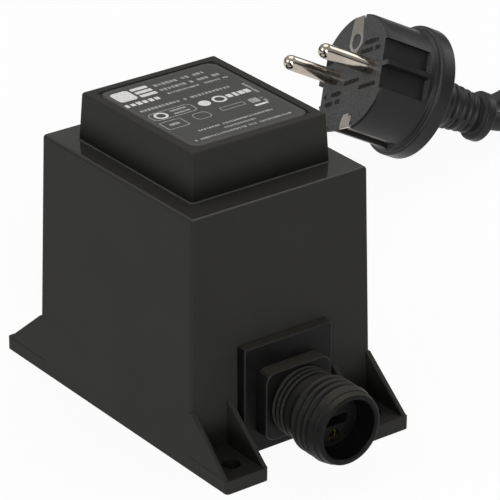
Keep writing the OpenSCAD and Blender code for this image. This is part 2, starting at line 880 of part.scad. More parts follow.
// Routes of the inner wires, from the winding's terminals to the lead and to the contacts
function terminal_place(number, side) = [number * terminal_pitch, side * rail_y, terminal_bottom];
upper_core_wire = connector_height + core_wire_drop;
live_route = [
    terminal_place(-2, 1), terminal_place(-2, 1) - [0, 0, wire_drop],
    [-live_low.x, rail_y, live_low.y], [-live_turn, core_wire_spread, upper_core_wire],
    [-live_run, core_wire_spread, upper_core_wire],
    [-sheath_end, core_wire_spread, upper_core_wire]
];
neutral_route = [
    terminal_place(0, 1), terminal_place(0, 1) - [0, 0, wire_drop],
    [neutral_low.x, rail_y, neutral_low.y], [-neutral_turn, -core_wire_spread, upper_core_wire],
    [-neutral_run, -core_wire_spread, upper_core_wire],
    [-sheath_end, -core_wire_spread, upper_core_wire]
];
lower_core_wire = connector_height - core_wire_spread;
tag_underside = core_z - stack_height / 2 - tag_thickness;
tag_y = earth_y - tag_r - wire_r;
earth_route = [
    [earth_x, tag_y + wire_r, tag_underside], [earth_x, tag_y + wire_r, tag_underside - earth_drop],
    [earth_x, tag_y + wire_r, earth_low], [-earth_turn.x, -earth_turn.y, earth_turn.z],
    [-earth_run.x, 0, lower_core_wire], [-earth_run.y, 0, lower_core_wire],
    [-sheath_end, 0, lower_core_wire]
];
upper_contact = connector_height + contact_offset;
output_route_a = [
    terminal_place(1, -1), terminal_place(1, -1) - [0, 0, wire_drop],
    [output_low_a.x, -rail_y, output_low_a.y], [output_run_a.x, 0, upper_contact],
    [output_run_a.y, 0, upper_contact], [contact_tail_end, 0, upper_contact]
];
lower_contact = connector_height - contact_offset;
output_route_b = [
    terminal_place(-1, -1), terminal_place(-1, -1) - [0, 0, output_drop],
    [-output_low_b.x, -rail_y, output_low_b.y], [output_turn_b.x, -output_turn_b.y, lower_contact],
    [output_run_b, 0, lower_contact], [contact_tail_end, 0, lower_contact]
];

module wire(route, gap) {
    last = len(route) - 1;
    tube(
        smooth(route, wire_steps), wire_r + gap, wire_sides,
        unit(route[1] - route[0]), unit(route[last] - route[last - 1])
    );
}

module live_wire() {
    color([0.4, 0.24, 0.14]) wire(live_route, 0);
}

module neutral_wire() {
    color([0.15, 0.3, 0.65]) wire(neutral_route, 0);
}

module earth_wire() {
    color([0.35, 0.6, 0.2]) wire(earth_route, 0);
}

module output_wire_a() {
    color([0.7, 0.1, 0.1]) wire(output_route_a, 0);
}

module output_wire_b() {
    color([0.1, 0.1, 0.1]) wire(output_route_b, 0);
}

// Ring tag under the core's corner, with a tab that the earth wire is crimped to
module tag_shape(gap) {
    translate([earth_x, earth_y, tag_underside - gap]) cylinder(h = tag_thickness + gap, r = tag_r + gap);
    translate([earth_x - wire_r - gap, tag_y - gap, tag_underside - gap])
        cube([2 * (wire_r + gap), tag_r + wire_r + gap, tag_thickness + gap]);
}

module earth_tag() {
    color([0.8, 0.78, 0.7]) difference() {
        tag_shape(0);
        translate([earth_x, earth_y, tag_underside - overrun])
            cylinder(h = tag_thickness + 2 * overrun, d = core_hole_d);
    }
}

module screw_shape(gap) {
    top = core_z + stack_height / 2;
    for (z = [tag_underside - screw_head_height - gap, top]) {
        translate([earth_x, earth_y, z]) cylinder(h = screw_head_height + gap, r = screw_head_r + gap);
    }
    translate([earth_x, earth_y, tag_underside - slice])
        cylinder(h = top - tag_underside + 2 * slice, r = screw_r);
}

// Screw and nut through the core's corner hole
module earth_screw() {
    color([0.7, 0.7, 0.68]) screw_shape(0);
}

module potting_compound() {
    reach = overrun + ceiling;
    color([0.1, 0.1, 0.1]) difference() {
        intersection() {
            housing_inside(fit_gap);
            box_between(
                [-housing_length, -housing_width, fill_level], [housing_length, housing_width, reach]
            );
        }
        box_between(
            [-core_length / 2 - fit_gap, -core_width / 2 - fit_gap, core_z - stack_height / 2 - fit_gap],
            [core_length / 2 + fit_gap, core_width / 2 + fit_gap, core_z + stack_height / 2 + fit_gap]
        );
        box_between(
            [-bobbin_half_x - fit_gap, -bobbin_half_y - fit_gap, core_z - bobbin_half_z - fit_gap],
            [bobbin_half_x + fit_gap, bobbin_half_y + fit_gap, reach]
        );
        box_between(
            [-bobbin_half_x - fit_gap, -bobbin_half_y - rail_length - fit_gap,
                rail_top - rail_height - fit_gap],
            [bobbin_half_x + fit_gap, bobbin_half_y + rail_length + fit_gap, rail_top + fit_gap]
        );
        at_terminals() terminal(fit_gap);
        fuse_shape(fit_gap);
        tag_shape(fit_gap);
        screw_shape(fit_gap);
        for (route = [live_route, neutral_route, earth_route, output_route_a, output_route_b]) {
            wire(route, fit_gap);
        }
        box_between(
            [flange_back - fit_gap, -flange_width / 2 - fit_gap, -overrun],
            [half_length, flange_width / 2 + fit_gap, flange_height + fit_gap]
        );
        at_contacts() translate([0, 0, contact_tail_end - fit_gap])
            cylinder(h = contact_back, r = contact_tail_r + 2 * fit_gap);
        at_back() box_between(
            [flange_back - fit_gap, -entry_plate_width / 2 - fit_gap, -overrun],
            [half_length, entry_plate_width / 2 + fit_gap, entry_plate_height + fit_gap]
        );
        at_back() turned_on_axis() translate([0, sheath_end - fit_gap])
            square([cord_r + fit_gap, flange_thickness + wall + fit_gap + overrun]);
    }
}

module mains_cord() {
    color([0.09, 0.09, 0.09]) tube(entry_path, cord_r, cord_sides, [-1, 0, 0], coil_start_way);
}

module cord_coil() {
    color([0.09, 0.09, 0.09]) tube(coil_path, cord_r, loop_sides, coil_start_way, coil_end_way);
}

module cord_tail() {
    color([0.09, 0.09, 0.09]) tube(tail_path, cord_r, cord_sides, coil_end_way, plug_point);
}

// Strap round all the turns on one side of the coil, with its end folded over the top
module coil_tie() {
    spread = turn_pitch * coil_turns / 4 + cord_r + tie_gap;
    tall = turn_pitch + cord_d + 2 * tie_gap;
    color([0.14, 0.14, 0.14]) translate([coil_x, coil_y, 0]) rotate([90, 0, tie_angle])
        translate([coil_mid_d / 2, tall / 2 + tie_thickness, -tie_width / 2]) {
            linear_extrude(tie_width) difference() {
                rounded_rectangle(
                    2 * (spread + tie_thickness), tall + 2 * tie_thickness, tie_corner_r
                );
                rounded_rectangle(2 * spread, tall, tie_corner_r - tie_thickness);
            }
            translate([-tie_end_share * spread, tall / 2 + tie_thickness, 0])
                cube([spread, tie_thickness, tie_width]);
        }
}

// The plug is drawn with its face at x = 0, its pins along +X and its tail along -X
module at_plug() {
    translate([plug_x, plug_y, plug_z]) rotate([0, -plug_tilt, plug_heading])
        rotate([plug_roll, 0, 0]) children();
}

module turned_plug() {
    rotate([90, 0, 90]) rotate_extrude() children();
}

module tail_profile() {
    smooth_end = grip_end + tail_smooth_share * tail_length;
    collar_start = plug_end - collar_length;
    polygon([
        [0, -grip_end + overrun], [tail_root_r + overrun, -grip_end + overrun],
        [tail_root_r + overrun, -grip_end], [tail_root_r, -grip_end - overrun],
        [tail_neck_r, -smooth_end], [tail_tip_r, -collar_start],
        [tail_collar_d / 2 - plug_edge, -collar_start], [tail_collar_d / 2, -collar_start - plug_edge],
        [tail_collar_d / 2, -plug_end], [0, -plug_end]
    ]);
}

module body_profile() {
    polygon([
        [0, 0], [plug_d / 2 - plug_edge, 0], [plug_d / 2, -plug_edge], [plug_d / 2, -plug_length],
        [shoulder_r, -plug_length + shoulder_length], [shoulder_r, -plug_length],
        [grip_d / 2 - plug_edge, -plug_length], [grip_d / 2, -plug_length - plug_edge],
        [grip_d / 2, -grip_end], [0, -grip_end]
    ]);
}

// Slots on both sides of the tail, every second one turned by a quarter
module tail_slot_cuts() {
    start = grip_end + tail_smooth_share * tail_length;
    pitch = (plug_end - collar_length - start) / tail_slots;
    for (i = [0:tail_slots - 1]) {
        x = -start - (i + 1 / 2) * pitch;
        rotate([i % 2 * 90, 0, 0]) both([0, 1, 0])
            translate([x - tail_slot_width / 2, tail_tip_r - tail_slot_depth / 2, -tail_neck_r])
                cube([tail_slot_width, tail_collar_d, 2 * tail_neck_r]);
    }
}

// Side recesses for a socket's guide ribs, at the ends of the pin line, with a rib between
module guide_cuts() {
    length = guide_length_share * plug_length;
    both([0, 1, 0]) both([0, 0, 1])
        translate([-length, plug_d / 2 - guide_depth, guide_rib_width / 2])
            cube([length + overrun, guide_depth + overrun, guide_width - guide_rib_width / 2]);
}

// Channels for the earth clips, across the pin line
module clip_channels() {
    both([0, 0, 1]) translate([
        -plug_length - overrun, -clip_channel_width / 2, plug_d / 2 - clip_channel_depth
    ]) cube([plug_length + 2 * overrun, clip_channel_width, clip_channel_depth + overrun]);
    both([0, 0, 1]) translate([-clip_thickness, -clip_width / 2, plug_d / 2 - clip_reach])
        cube([clip_thickness + overrun, clip_width, clip_reach]);
}

module plug_body() {
    color([0.13, 0.13, 0.13]) at_plug() difference() {
        turned_plug() {
            body_profile();
            tail_profile();
        }
        guide_cuts();
        clip_channels();
        tail_slot_cuts();
        for (y = [-pin_spacing / 2, pin_spacing / 2]) {
            translate([-pin_root, y, 0]) rotate([0, 90, 0])
                cylinder(h = pin_root + overrun, d = pin_root_d + fit_gap);
        }
        translate([-earth_sleeve_length, 0, earth_hole_offset]) rotate([0, 90, 0])
            cylinder(h = earth_sleeve_length + overrun, r = earth_sleeve_r + fit_gap);
    }
}

module plug_pins() {
    shaft = pin_length - pin_d / 2;
    color([0.8, 0.79, 0.76]) at_plug() for (y = [-pin_spacing / 2, pin_spacing / 2]) {
        translate([0, y, 0]) rotate([0, 90, 0]) {
            translate([0, 0, -pin_root]) cylinder(h = pin_root + shaft, d = pin_root_d);
            cylinder(h = shaft, d = pin_d);
            translate([0, 0, shaft]) intersection() {
                sphere(d = pin_d);
                cylinder(h = pin_d, d = pin_d * 2);
            }
        }
    }
}

// Each clip lies in its channel and is bent over the plug's face
module earth_clips() {
    floor_z = plug_d / 2 - clip_channel_depth;
    color([0.82, 0.81, 0.78]) at_plug() both([0, 0, 1]) {
        translate([-plug_length, -clip_width / 2, floor_z])
            cube([plug_length, clip_width, clip_thickness]);
        translate([-clip_thickness, -clip_width / 2, plug_d / 2 - clip_reach])
            cube([clip_thickness, clip_width, clip_reach - clip_channel_depth + clip_thickness]);
    }
}

module earth_sleeve() {
    color([0.8, 0.79, 0.76]) at_plug() translate([-earth_sleeve_length, 0, earth_hole_offset])
        rotate([0, 90, 0]) difference() {
            cylinder(h = earth_sleeve_length, r = earth_sleeve_r);
            translate([0, 0, earth_sleeve_floor])
                cylinder(h = earth_sleeve_length, r = earth_hole_r);
        }
}

housing();
rating_label();
output_socket();
socket_insert();
socket_contacts();
cord_grommet();
lead_sheath();
core_e_stack();
core_i_stack();
bobbin();
primary_winding();
secondary_winding();
primary_tape();
secondary_tape();
thermal_fuse();
terminal_pins();
live_wire();
neutral_wire();
earth_wire();
earth_tag();
earth_screw();
output_wire_a();
output_wire_b();
potting_compound();
mains_cord();
cord_coil();
cord_tail();
coil_tie();
plug_body();
plug_pins();
earth_clips();
earth_sleeve();
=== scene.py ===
import json
import math

import bmesh
import bpy
from mathutils import Matrix, Vector


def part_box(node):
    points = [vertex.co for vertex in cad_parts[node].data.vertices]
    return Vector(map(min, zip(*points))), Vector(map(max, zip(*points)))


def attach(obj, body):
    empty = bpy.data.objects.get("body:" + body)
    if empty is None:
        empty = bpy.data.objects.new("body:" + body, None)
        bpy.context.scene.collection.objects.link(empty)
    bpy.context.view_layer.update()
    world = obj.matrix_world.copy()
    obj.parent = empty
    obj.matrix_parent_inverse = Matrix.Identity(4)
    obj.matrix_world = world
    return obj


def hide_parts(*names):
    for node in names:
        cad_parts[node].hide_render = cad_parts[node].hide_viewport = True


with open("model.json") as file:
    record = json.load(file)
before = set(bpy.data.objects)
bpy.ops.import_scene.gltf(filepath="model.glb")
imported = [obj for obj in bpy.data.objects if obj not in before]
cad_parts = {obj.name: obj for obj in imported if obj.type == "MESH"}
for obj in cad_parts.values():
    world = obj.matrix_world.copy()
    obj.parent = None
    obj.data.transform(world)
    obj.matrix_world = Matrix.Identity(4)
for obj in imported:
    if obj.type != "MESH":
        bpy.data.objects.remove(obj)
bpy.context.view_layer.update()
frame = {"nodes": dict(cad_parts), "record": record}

# Units and places that come from the frame
MM = 0.001
PER_MM = 1 / MM
DEGREE = math.pi / 180
mounts = {mount["name"]: mount for mount in frame["record"]["mounts"]}
AXIS_Z = mounts["socket_mouth"]["pos_m"][2]

# Camera
IMAGE_PX = 500
FOCAL_PX = 3314.8
CAMERA_PLACE = Vector((0.63612, -0.4665, 0.4227))
CAMERA_AHEAD = Vector((-0.71751, 0.54362, -0.4355))
CAMERA_UP = Vector((-0.35054, 0.25847, 0.90018))


def new_object(name, data):
    piece = bpy.data.objects.new(name, data)
    bpy.context.scene.collection.objects.link(piece)
    return piece


def add_camera():
    data = bpy.data.cameras.new("camera")
    data.sensor_width = 36
    data.lens = FOCAL_PX / IMAGE_PX * data.sensor_width
    data.clip_start = 0.05
    data.clip_end = 50
    camera = new_object("camera", data)
    right = CAMERA_AHEAD.cross(CAMERA_UP).normalized()
    up = right.cross(CAMERA_AHEAD).normalized()
    turn = Matrix((right, up, -CAMERA_AHEAD.normalized())).transposed()
    camera.matrix_world = Matrix.Translation(CAMERA_PLACE) @ turn.to_4x4()
    bpy.context.scene.camera = camera


add_camera()


# Meshes

# How far a part reaches into the one that it is joined to, and a cutter out of what it cuts
OVERLAP = 1 * MM


def mesh_piece(name, points, faces):
    mesh = bpy.data.meshes.new(name)
    mesh.from_pydata(points, [], faces)
    return new_object(name, mesh)


def skinned(name, loops, ring=False):
    """A closed solid through loops of as many points each. ring joins the last loop to the first."""
    count = len(loops[0])
    points = [point for loop in loops for point in loop]
    steps = len(loops) if ring else len(loops) - 1
    faces = []
    for step in range(steps):
        here, there = step * count, (step + 1) % len(loops) * count
        for k in range(count):
            after = (k + 1) % count
            faces.append((here + k, here + after, there + after, there + k))
    if not ring:
        faces.append(tuple(reversed(range(count))))
        faces.append(tuple(range(steps * count, (steps + 1) * count)))
    return mesh_piece(name, points, faces)


def cleaned(piece, merge_within, flat_within=None):
    """Merges doubles, joins faces that lie flat to each other, and turns all faces outwards."""
    mesh = bmesh.new()
    mesh.from_mesh(piece.data)
    bmesh.ops.remove_doubles(mesh, verts=mesh.verts, dist=merge_within)
    if flat_within:
        bmesh.ops.dissolve_limit(mesh, angle_limit=flat_within, verts=mesh.verts, edges=mesh.edges)
    bmesh.ops.recalc_face_normals(mesh, faces=mesh.faces)
    mesh.to_mesh(piece.data)
    mesh.free()
    return piece


def smoothed(piece, sharp_angle):
    piece.data.shade_smooth()
    piece.data.set_sharp_from_angle(angle=sharp_angle)
    return piece


def tidy_mesh(piece):
    return smoothed(cleaned(piece, 1e-7), 32 * DEGREE)


def evaluated(piece):
    """Replaces a piece's mesh with what its modifiers make of it."""
    bpy.context.view_layer.update()
    result = piece.evaluated_get(bpy.context.evaluated_depsgraph_get())
    mesh = bpy.data.meshes.new_from_object(result)
    piece.modifiers.clear()
    piece.data = mesh
    return piece


def add_modifier(piece, kind, **settings):
    modifier = piece.modifiers.new(kind, kind)
    for name, value in settings.items():
        setattr(modifier, name, value)
    return modifier


def combined(piece, others, operation="DIFFERENCE"):
    """Cuts the others out of a piece, or joins them to it, and deletes them."""
    for other in others:
        add_modifier(piece, "BOOLEAN", operation=operation, solver="MANIFOLD", object=other)
    evaluated(piece)
    for other in others:
        bpy.data.objects.remove(other)
    return piece


def flat_faced(piece):
    """Lets the large faces of a smooth piece stay flat up to their rounded edges."""
    add_modifier(piece, "WEIGHTED_NORMAL", mode="FACE_AREA", weight=100, keep_sharp=True)
    return evaluated(piece)


def bevelled(piece, width):
    """Rounds the sharp edges a little. The rounding gets the piece's second material."""
    add_modifier(piece, "BEVEL", material=1, width=width, segments=2, limit_method="ANGLE",
                 angle_limit=38 * DEGREE, miter_outer="MITER_ARC")
    return evaluated(piece)


def placed(piece, matrix):
    piece.data.transform(matrix)
    return piece


def finished(piece, number):
    """Gives all faces the piece's material of this number."""
    for face in piece.data.polygons:
        face.material_index = number
    return piece


def arc(centre, radius, start, end, steps):
    angles = [start + (end - start) * k / steps for k in range(steps + 1)]
    return [(centre[0] + radius * math.cos(a), centre[1] + radius * math.sin(a)) for a in angles]


def filleted(outline, radius, steps=4):
    """An open outline with each inner corner rounded, as far as its two sides allow."""
    rounded = [outline[0]]
    for before, corner, after in zip(outline, outline[1:], outline[2:]):
        a, c, b = Vector(before), Vector(corner), Vector(after)
        into, out = (c - a), (b - c)
        reach = min(radius, into.length * 0.45, out.length * 0.45)
        start, end = c - into.normalized() * reach, c + out.normalized() * reach
        for k in range(steps + 1):
            t = k / steps
            bend = start * (1 - t) ** 2 + c * 2 * t * (1 - t) + end * t * t
            rounded.append((bend.x, bend.y))
    rounded.append(outline[-1])
    return rounded


def circle(radius, sides):
    return arc((0, 0), radius, 0, math.tau, sides)[:-1]


def along_x(name, outlines):
    """A solid along X, from pairs of a distance along X and an outline of (y, z) there."""
    return skinned(name, [[(x, y, z) for y, z in outline] for x, outline in outlines])


def turned(name, profile, sides):
    """A solid turned about X from a profile of (distance along X, radius)."""
    return along_x(name, [(x, circle(max(radius, 1e-9), sides)) for x, radius in profile])


def rounded_outline(width, height, radius, steps=6):
    half_w, half_h = width / 2 - radius, height / 2 - radius
    corners = [(half_w, half_h), (-half_w, half_h), (-half_w, -half_h), (half_w, -half_h)]
    outline = []
    for quarter, corner in enumerate(corners):
        outline += arc(corner, radius, quarter * math.pi / 2, (quarter + 1) * math.pi / 2, steps)
    return outline


def slab(name, width, height, depth, corner_r, edge_r, steps=4):
    """A plate that stands in the YZ plane from x = 0, with round corners and a rounded front edge."""
    levels = [(0.0, 0.0)]
    for k in range(steps + 1):
        angle = math.pi / 2 * k / steps
        levels.append((depth - edge_r + edge_r * math.sin(angle), edge_r * (1 - math.cos(angle))))
    outlines = [
        (x, rounded_outline(width - 2 * inset, height - 2 * inset, corner_r - inset)) for x, inset in levels
    ]
    piece = along_x(name, outlines)
    count = len(outlines[0][1])
    for face in piece.data.polygons[count:count * (steps + 1)]:
        face.material_index = 1
    return piece


def swept_ring(name, outline, section):
    """A closed band: a section of (out from the outline, across it) taken once round a flat outline."""
    loops = []
    for k, here in enumerate(outline):
        before, after = Vector(outline[k - 1]), Vector(outline[(k + 1) % len(outline)])
        way = (after - before).normalized()
        loops.append([(here[0] + way.y * t, here[1] - way.x * t, w) for t, w in section])
    return tidy_mesh(skinned(name, loops, ring=True))


def flats_joined(piece):
    return cleaned(piece, 0.001 * MM, 0.4 * DEGREE)


def soft_copy(node_name, width, cutters=()):
    """A copy of a solid of the frame, less the cutters, with its sharp edges rounded a little."""
    piece = flats_joined(new_object(node_name + "_shown", frame["nodes"][node_name].data.copy()))
    if cutters:
        flats_joined(combined(piece, cutters))
    bevelled(finished(piece, 0), width)
    return flat_faced(tidy_mesh(piece))


def box_between(name, low, high):
    """A block with its edges along the axes, between two corners in any order."""
    low, high = [min(pair) for pair in zip(low, high)], [max(pair) for pair in zip(low, high)]
    x, y, z = (b - a for a, b in zip(low, high))
    rectangle = [(0, 0), (y, 0), (y, z), (0, z)]
    return placed(along_x(name, [(0, rectangle), (x, rectangle)]), Matrix.Translation(low))


def shift(x=0.0, y=0.0, z=0.0):
    return Matrix.Translation((x, y, z))


def turn_about(axis, angle=math.pi / 2):
    return Matrix.Rotation(angle, 4, axis)


# Plug, which rests on its grip ring and on the collar of its tail

CORD_D = 6.2 * MM
PLUG_D = 37.8 * MM
PLUG_LENGTH = 19 * MM
GRIP_D = 41.8 * MM
GRIP_LENGTH = 5 * MM
TAIL_LENGTH = 26 * MM
COLLAR_D = 16 * MM
GRIP_END = PLUG_LENGTH + GRIP_LENGTH
PLUG_END = GRIP_END + TAIL_LENGTH
PLUG_TILT = math.atan((GRIP_D - COLLAR_D) / 2 / TAIL_LENGTH)
PLUG_HEADING = -105 * DEGREE
PLUG_ROLL = 33 * DEGREE
PLUG_PLACE = Vector((
    -93 * MM, 125 * MM, GRIP_END * math.sin(PLUG_TILT) + GRIP_D / 2 * math.cos(PLUG_TILT)
))
PLUG_TURN = turn_about("Z", PLUG_HEADING) @ turn_about("Y", -PLUG_TILT)
PLUG_FRAME = Matrix.Translation(PLUG_PLACE) @ PLUG_TURN @ turn_about("X", PLUG_ROLL)
PLUG_POINT = PLUG_TURN @ Vector((1, 0, 0))


# Mains lead

COIL_TURNS = 5.25
COIL_PITCH = CORD_D + 0.6 * MM
COIL_CENTRE = Vector((-84, 66)) * MM
COIL_MID_R = 34 * MM
COIL_START = -120 * DEGREE
COIL_CLIMB_TURNS = 0.5
TIE_THICKNESS = 0.8 * MM
TIE_GAP = 0.3 * MM
COIL_FLOOR = TIE_THICKNESS + TIE_GAP + CORD_D / 2
COIL_RINGS = 24
FINE_RINGS = 72
BOOT_TIP = Vector((-57 * MM, 0, AXIS_Z))
ENTRY_ROUTE = [
    (-63, 0, 14.6), (-74.5, 2.5, 12.6), (-84.5, 9, 8.6), (-90, 14.5, 5.8), (-95.5, 20.5, 4.3),
]
TAIL_ON_FLOOR = [
    (-111, 141), (-105, 150), (-99, 160), (-95, 171), (-94, 183), (-97, 195), (-104, 205), (-112, 214),
    (-120, 224), (-124, 236), (-122, 249), (-114, 260), (-102, 266), (-88, 267), (-75, 262), (-66, 251),
    (-62, 238), (-63, 224), (-67, 211),
]
TAIL_ROUTE = [
    (-117, 101, 8.9), (-116.5, 111, 6.4), (-116.5, 121, 4.3), (-115, 131, 3.2),
    *((x, y, 3.1) for x, y in TAIL_ON_FLOOR), (-71, 199, 3.3), (-75, 187.5, 4.1),
]


def coil_point(turn):
    """The coil's middle line, spiral inwards on the floor and outwards on top of that."""
    share = min(max((turn - COIL_TURNS / 2) / COIL_CLIMB_TURNS + 0.5, 0), 1)
    climb = share * share * (3 - 2 * share)
    angle = COIL_START - math.tau * turn
    radius = COIL_MID_R + COIL_PITCH * (abs(turn - COIL_TURNS / 2) - COIL_TURNS / 4)
    x, y = COIL_CENTRE.x + radius * math.cos(angle), COIL_CENTRE.y + radius * math.sin(angle)
    return Vector((x, y, COIL_FLOOR + COIL_PITCH * climb))


def smooth_route(route, steps):
    """The smooth curve that the route's points pull on, from its first point to its last."""
    p = [2 * route[0] - route[1], *route, 2 * route[-1] - route[-2]]
    curve = []
    for a, b, c, d in zip(p, p[1:], p[2:], p[3:]):
        for k in range(steps):
            t = k / steps
            curve.append((
                a * (1 - t) ** 3 + b * (3 * t**3 - 6 * t * t + 4)
                + c * (3 * t + 3 * t * t - 3 * t**3 + 1) + d * t**3
            ) / 6)
    curve.append(route[-1])
    return curve


def lead_path():
    first = coil_point(0)
    last = coil_point(COIL_TURNS)
    coil_in = first + CORD_D * (first - coil_point(1 / COIL_RINGS)).normalized()
    coil_out = last + CORD_D * (last - coil_point(COIL_TURNS - 1 / COIL_RINGS)).normalized()
    coil = [coil_point(k / FINE_RINGS) for k in range(int(FINE_RINGS * COIL_TURNS) + 1)]
    plug_entry = PLUG_PLACE - PLUG_END * PLUG_POINT
    before_plug = plug_entry - CORD_D * PLUG_POINT
    entry = [BOOT_TIP, *(Vector(p) * MM for p in ENTRY_ROUTE), coil_in]
    tail = [coil_out, *(Vector(p) * MM for p in TAIL_ROUTE), before_plug, plug_entry]
    return smooth_route(entry, 6) + coil + smooth_route(tail, 6)


def tube(name, path, radius, sides):
    """A tube along a path, with its length along V and its girth along U, both in metres."""
    ways = [(b - a).normalized() for a, b in zip(path, path[1:])]
    ways = [ways[0]] + [(a + b).normalized() for a, b in zip(ways, ways[1:])] + [ways[-1]]
    side = ways[0].orthogonal().normalized()
    loops = []
    for point, way in zip(path, ways):
        side = (side - side.dot(way) * way).normalized()
        lift = way.cross(side)
        loops.append([point + c * side + s * lift for c, s in circle(radius, sides)])
    piece = smoothed(skinned(name, loops), 50 * DEGREE)
    lengths = [0.0]
    for a, b in zip(path, path[1:]):
        lengths.append(lengths[-1] + (b - a).length)
    layer = piece.data.uv_layers.new(name="along")
    for face in piece.data.polygons:
        for loop_index in face.loop_indices:
            vertex = piece.data.loops[loop_index].vertex_index
            step, k = divmod(vertex, sides)
            turn = 1.0 if k == 0 and face.vertices[1] % sides == 0 else k / sides
            layer.data[loop_index].uv = (turn * math.tau * radius, lengths[step])
    return piece, lengths[-1]


LEAD_PATH = lead_path()
mains_lead, LEAD_LENGTH = tube("mains_lead", LEAD_PATH, CORD_D / 2, 20)


# Node trees

def plug_in(socket, value):
    """Links a value or a socket, or sets a plain number, colour or vector."""
    if isinstance(value, Value):
        value = value.socket
    if isinstance(value, bpy.types.NodeSocket):
        socket.id_data.links.new(value, socket)
    else:
        socket.default_value = value


def feed(node, **inputs):
    """Links or sets inputs of a node. An input's name has _ for each space."""
    for name, value in inputs.items():
        plug_in(node.inputs[name.replace("_", " ")], value)
    return node


def add_node(tree, kind, settings=None, **inputs):
    """A new node with its settings and inputs."""
    node = tree.nodes.new(kind)
    for name, value in (settings or {}).items():
        setattr(node, name, value)
    return feed(node, **inputs)


def output_of(tree, kind, settings=None, **inputs):
    """The first output of a new node."""
    return add_node(tree, kind, settings, **inputs).outputs[0]


def calculation(operation, swapped=False):
    """A method of Value that adds a Math node. swapped puts the other value first."""
    def method(value, *others):
        node = add_node(value.socket.id_data, "ShaderNodeMath", {"operation": operation})
        for socket, number in zip(node.inputs, (*others, value) if swapped else (value, *others)):
            plug_in(socket, number)
        return Value(node.outputs[0])
    return method


class Value:
    """A number in a node tree, as the socket that gives it. Arithmetic on it adds nodes."""

    __add__ = calculation("ADD")
    __sub__ = calculation("SUBTRACT")
    __rsub__ = calculation("SUBTRACT", swapped=True)
    __mul__ = calculation("MULTIPLY")
    __truediv__ = calculation("DIVIDE")
    __rtruediv__ = calculation("DIVIDE", swapped=True)
    __pow__ = calculation("POWER")
    __abs__ = calculation("ABSOLUTE")
    at_least = calculation("MAXIMUM")
    at_most = calculation("MINIMUM")
    root = calculation("SQRT")
    sine = calculation("SINE")
    cosine = calculation("COSINE")

    def __init__(self, socket):
        self.socket = socket

    def ramp(self, start, end, low=0.0, high=1.0, soft=True):
        """low up to start, high from end on, and smooth in between."""
        settings = {"interpolation_type": "SMOOTHSTEP" if soft else "LINEAR"}
        return Value(output_of(
            self.socket.id_data, "ShaderNodeMapRange", settings,
            Value=self, From_Min=start, From_Max=end, To_Min=low, To_Max=high,
        ))

    def fade(self, start, end):
        """1 up to start, and 0 from end on."""
        return self.ramp(start, end, 1.0, 0.0)

    def mix(self, first, second):
        """Colour between two colours: none of the second at 0, all of it at 1."""
        node = add_node(self.socket.id_data, "ShaderNodeMix", {"data_type": "RGBA"}, Factor=self)
        plug_in(node.inputs[6], first)
        plug_in(node.inputs[7], second)
        return node.outputs[2]


def axes(vector):
    """The three numbers of a vector."""
    split = add_node(vector.id_data, "ShaderNodeSeparateXYZ", Vector=vector)
    return [Value(socket) for socket in split.outputs]


def vector_of(tree, **numbers):
    return output_of(tree, "ShaderNodeCombineXYZ", **numbers)


def noise(place, scale, detail=3.0, **inputs):
    return Value(output_of(
        place.id_data, "ShaderNodeTexNoise", Vector=place, Scale=scale, Detail=detail, **inputs
    ))


def true_normal(tree):
    return add_node(tree, "ShaderNodeNewGeometry").outputs["True Normal"]


def object_place(tree):
    return add_node(tree, "ShaderNodeTexCoord").outputs["Object"]


def any_ray(tree, *kinds):
    """1 for rays of these kinds, 0 for all others."""
    rays = add_node(tree, "ShaderNodeLightPath").outputs
    first, *others = (rays[f"Is {kind} Ray"] for kind in kinds)
    share = Value(first)
    for other in others:
        share = share.at_least(other)
    return share


def cleared_tree(owner):
    """The empty node tree of a material or a world."""
    owner.use_nodes = True
    owner.node_tree.nodes.clear()
    return owner.node_tree


def end_tree(tree, output, share, first, second):
    """Ends a tree in a mix of two shaders: none of the second at 0, all of it at 1."""
    mix = add_node(tree, "ShaderNodeMixShader")
    for socket, value in zip(mix.inputs, (share, first, second)):
        plug_in(socket, value)
    add_node(tree, output, Surface=mix.outputs[0])


def new_tree(name, kind, inputs, outputs):
    """A node group with named sockets, the values that it is given, and its output node."""
    tree = bpy.data.node_groups.new(name, kind)
    for in_out, sockets in (("INPUT", inputs), ("OUTPUT", outputs)):
        for socket_name, socket_type in sockets.items():
            tree.interface.new_socket(socket_name, in_out=in_out, socket_type="NodeSocket" + socket_type)
    return tree, add_node(tree, "NodeGroupInput").outputs, add_node(tree, "NodeGroupOutput")


def new_form(name, inputs):
    """A geometry tree with named values, and a function that ends it with real meshes in its material."""
    tree, given, result = new_tree(
        name, "GeometryNodeTree", {**inputs, "Material": "Material"}, {"Geometry": "Geometry"}
    )

    def end_form(geometry):
        real = output_of(tree, "GeometryNodeRealizeInstances", Geometry=geometry)
        coated = output_of(tree, "GeometryNodeSetMaterial", Geometry=real, Material=given["Material"])
        feed(result, Geometry=coated)
        return tree

    return tree, given, end_form


def grown(name, tree, values, material):
    """A piece that a geometry tree makes from named values, as a plain mesh."""
    piece = mesh_piece(name, [], [])
    modifier = add_modifier(piece, "NODES", node_group=tree)
    sockets = {item.name: item.identifier for item in tree.interface.items_tree if item.in_out == "INPUT"}
    for socket_name, value in {**values, "Material": material}.items():
        modifier[sockets[socket_name]] = value
    return evaluated(piece)


# Sizes of the output socket: plate, pad and threaded neck

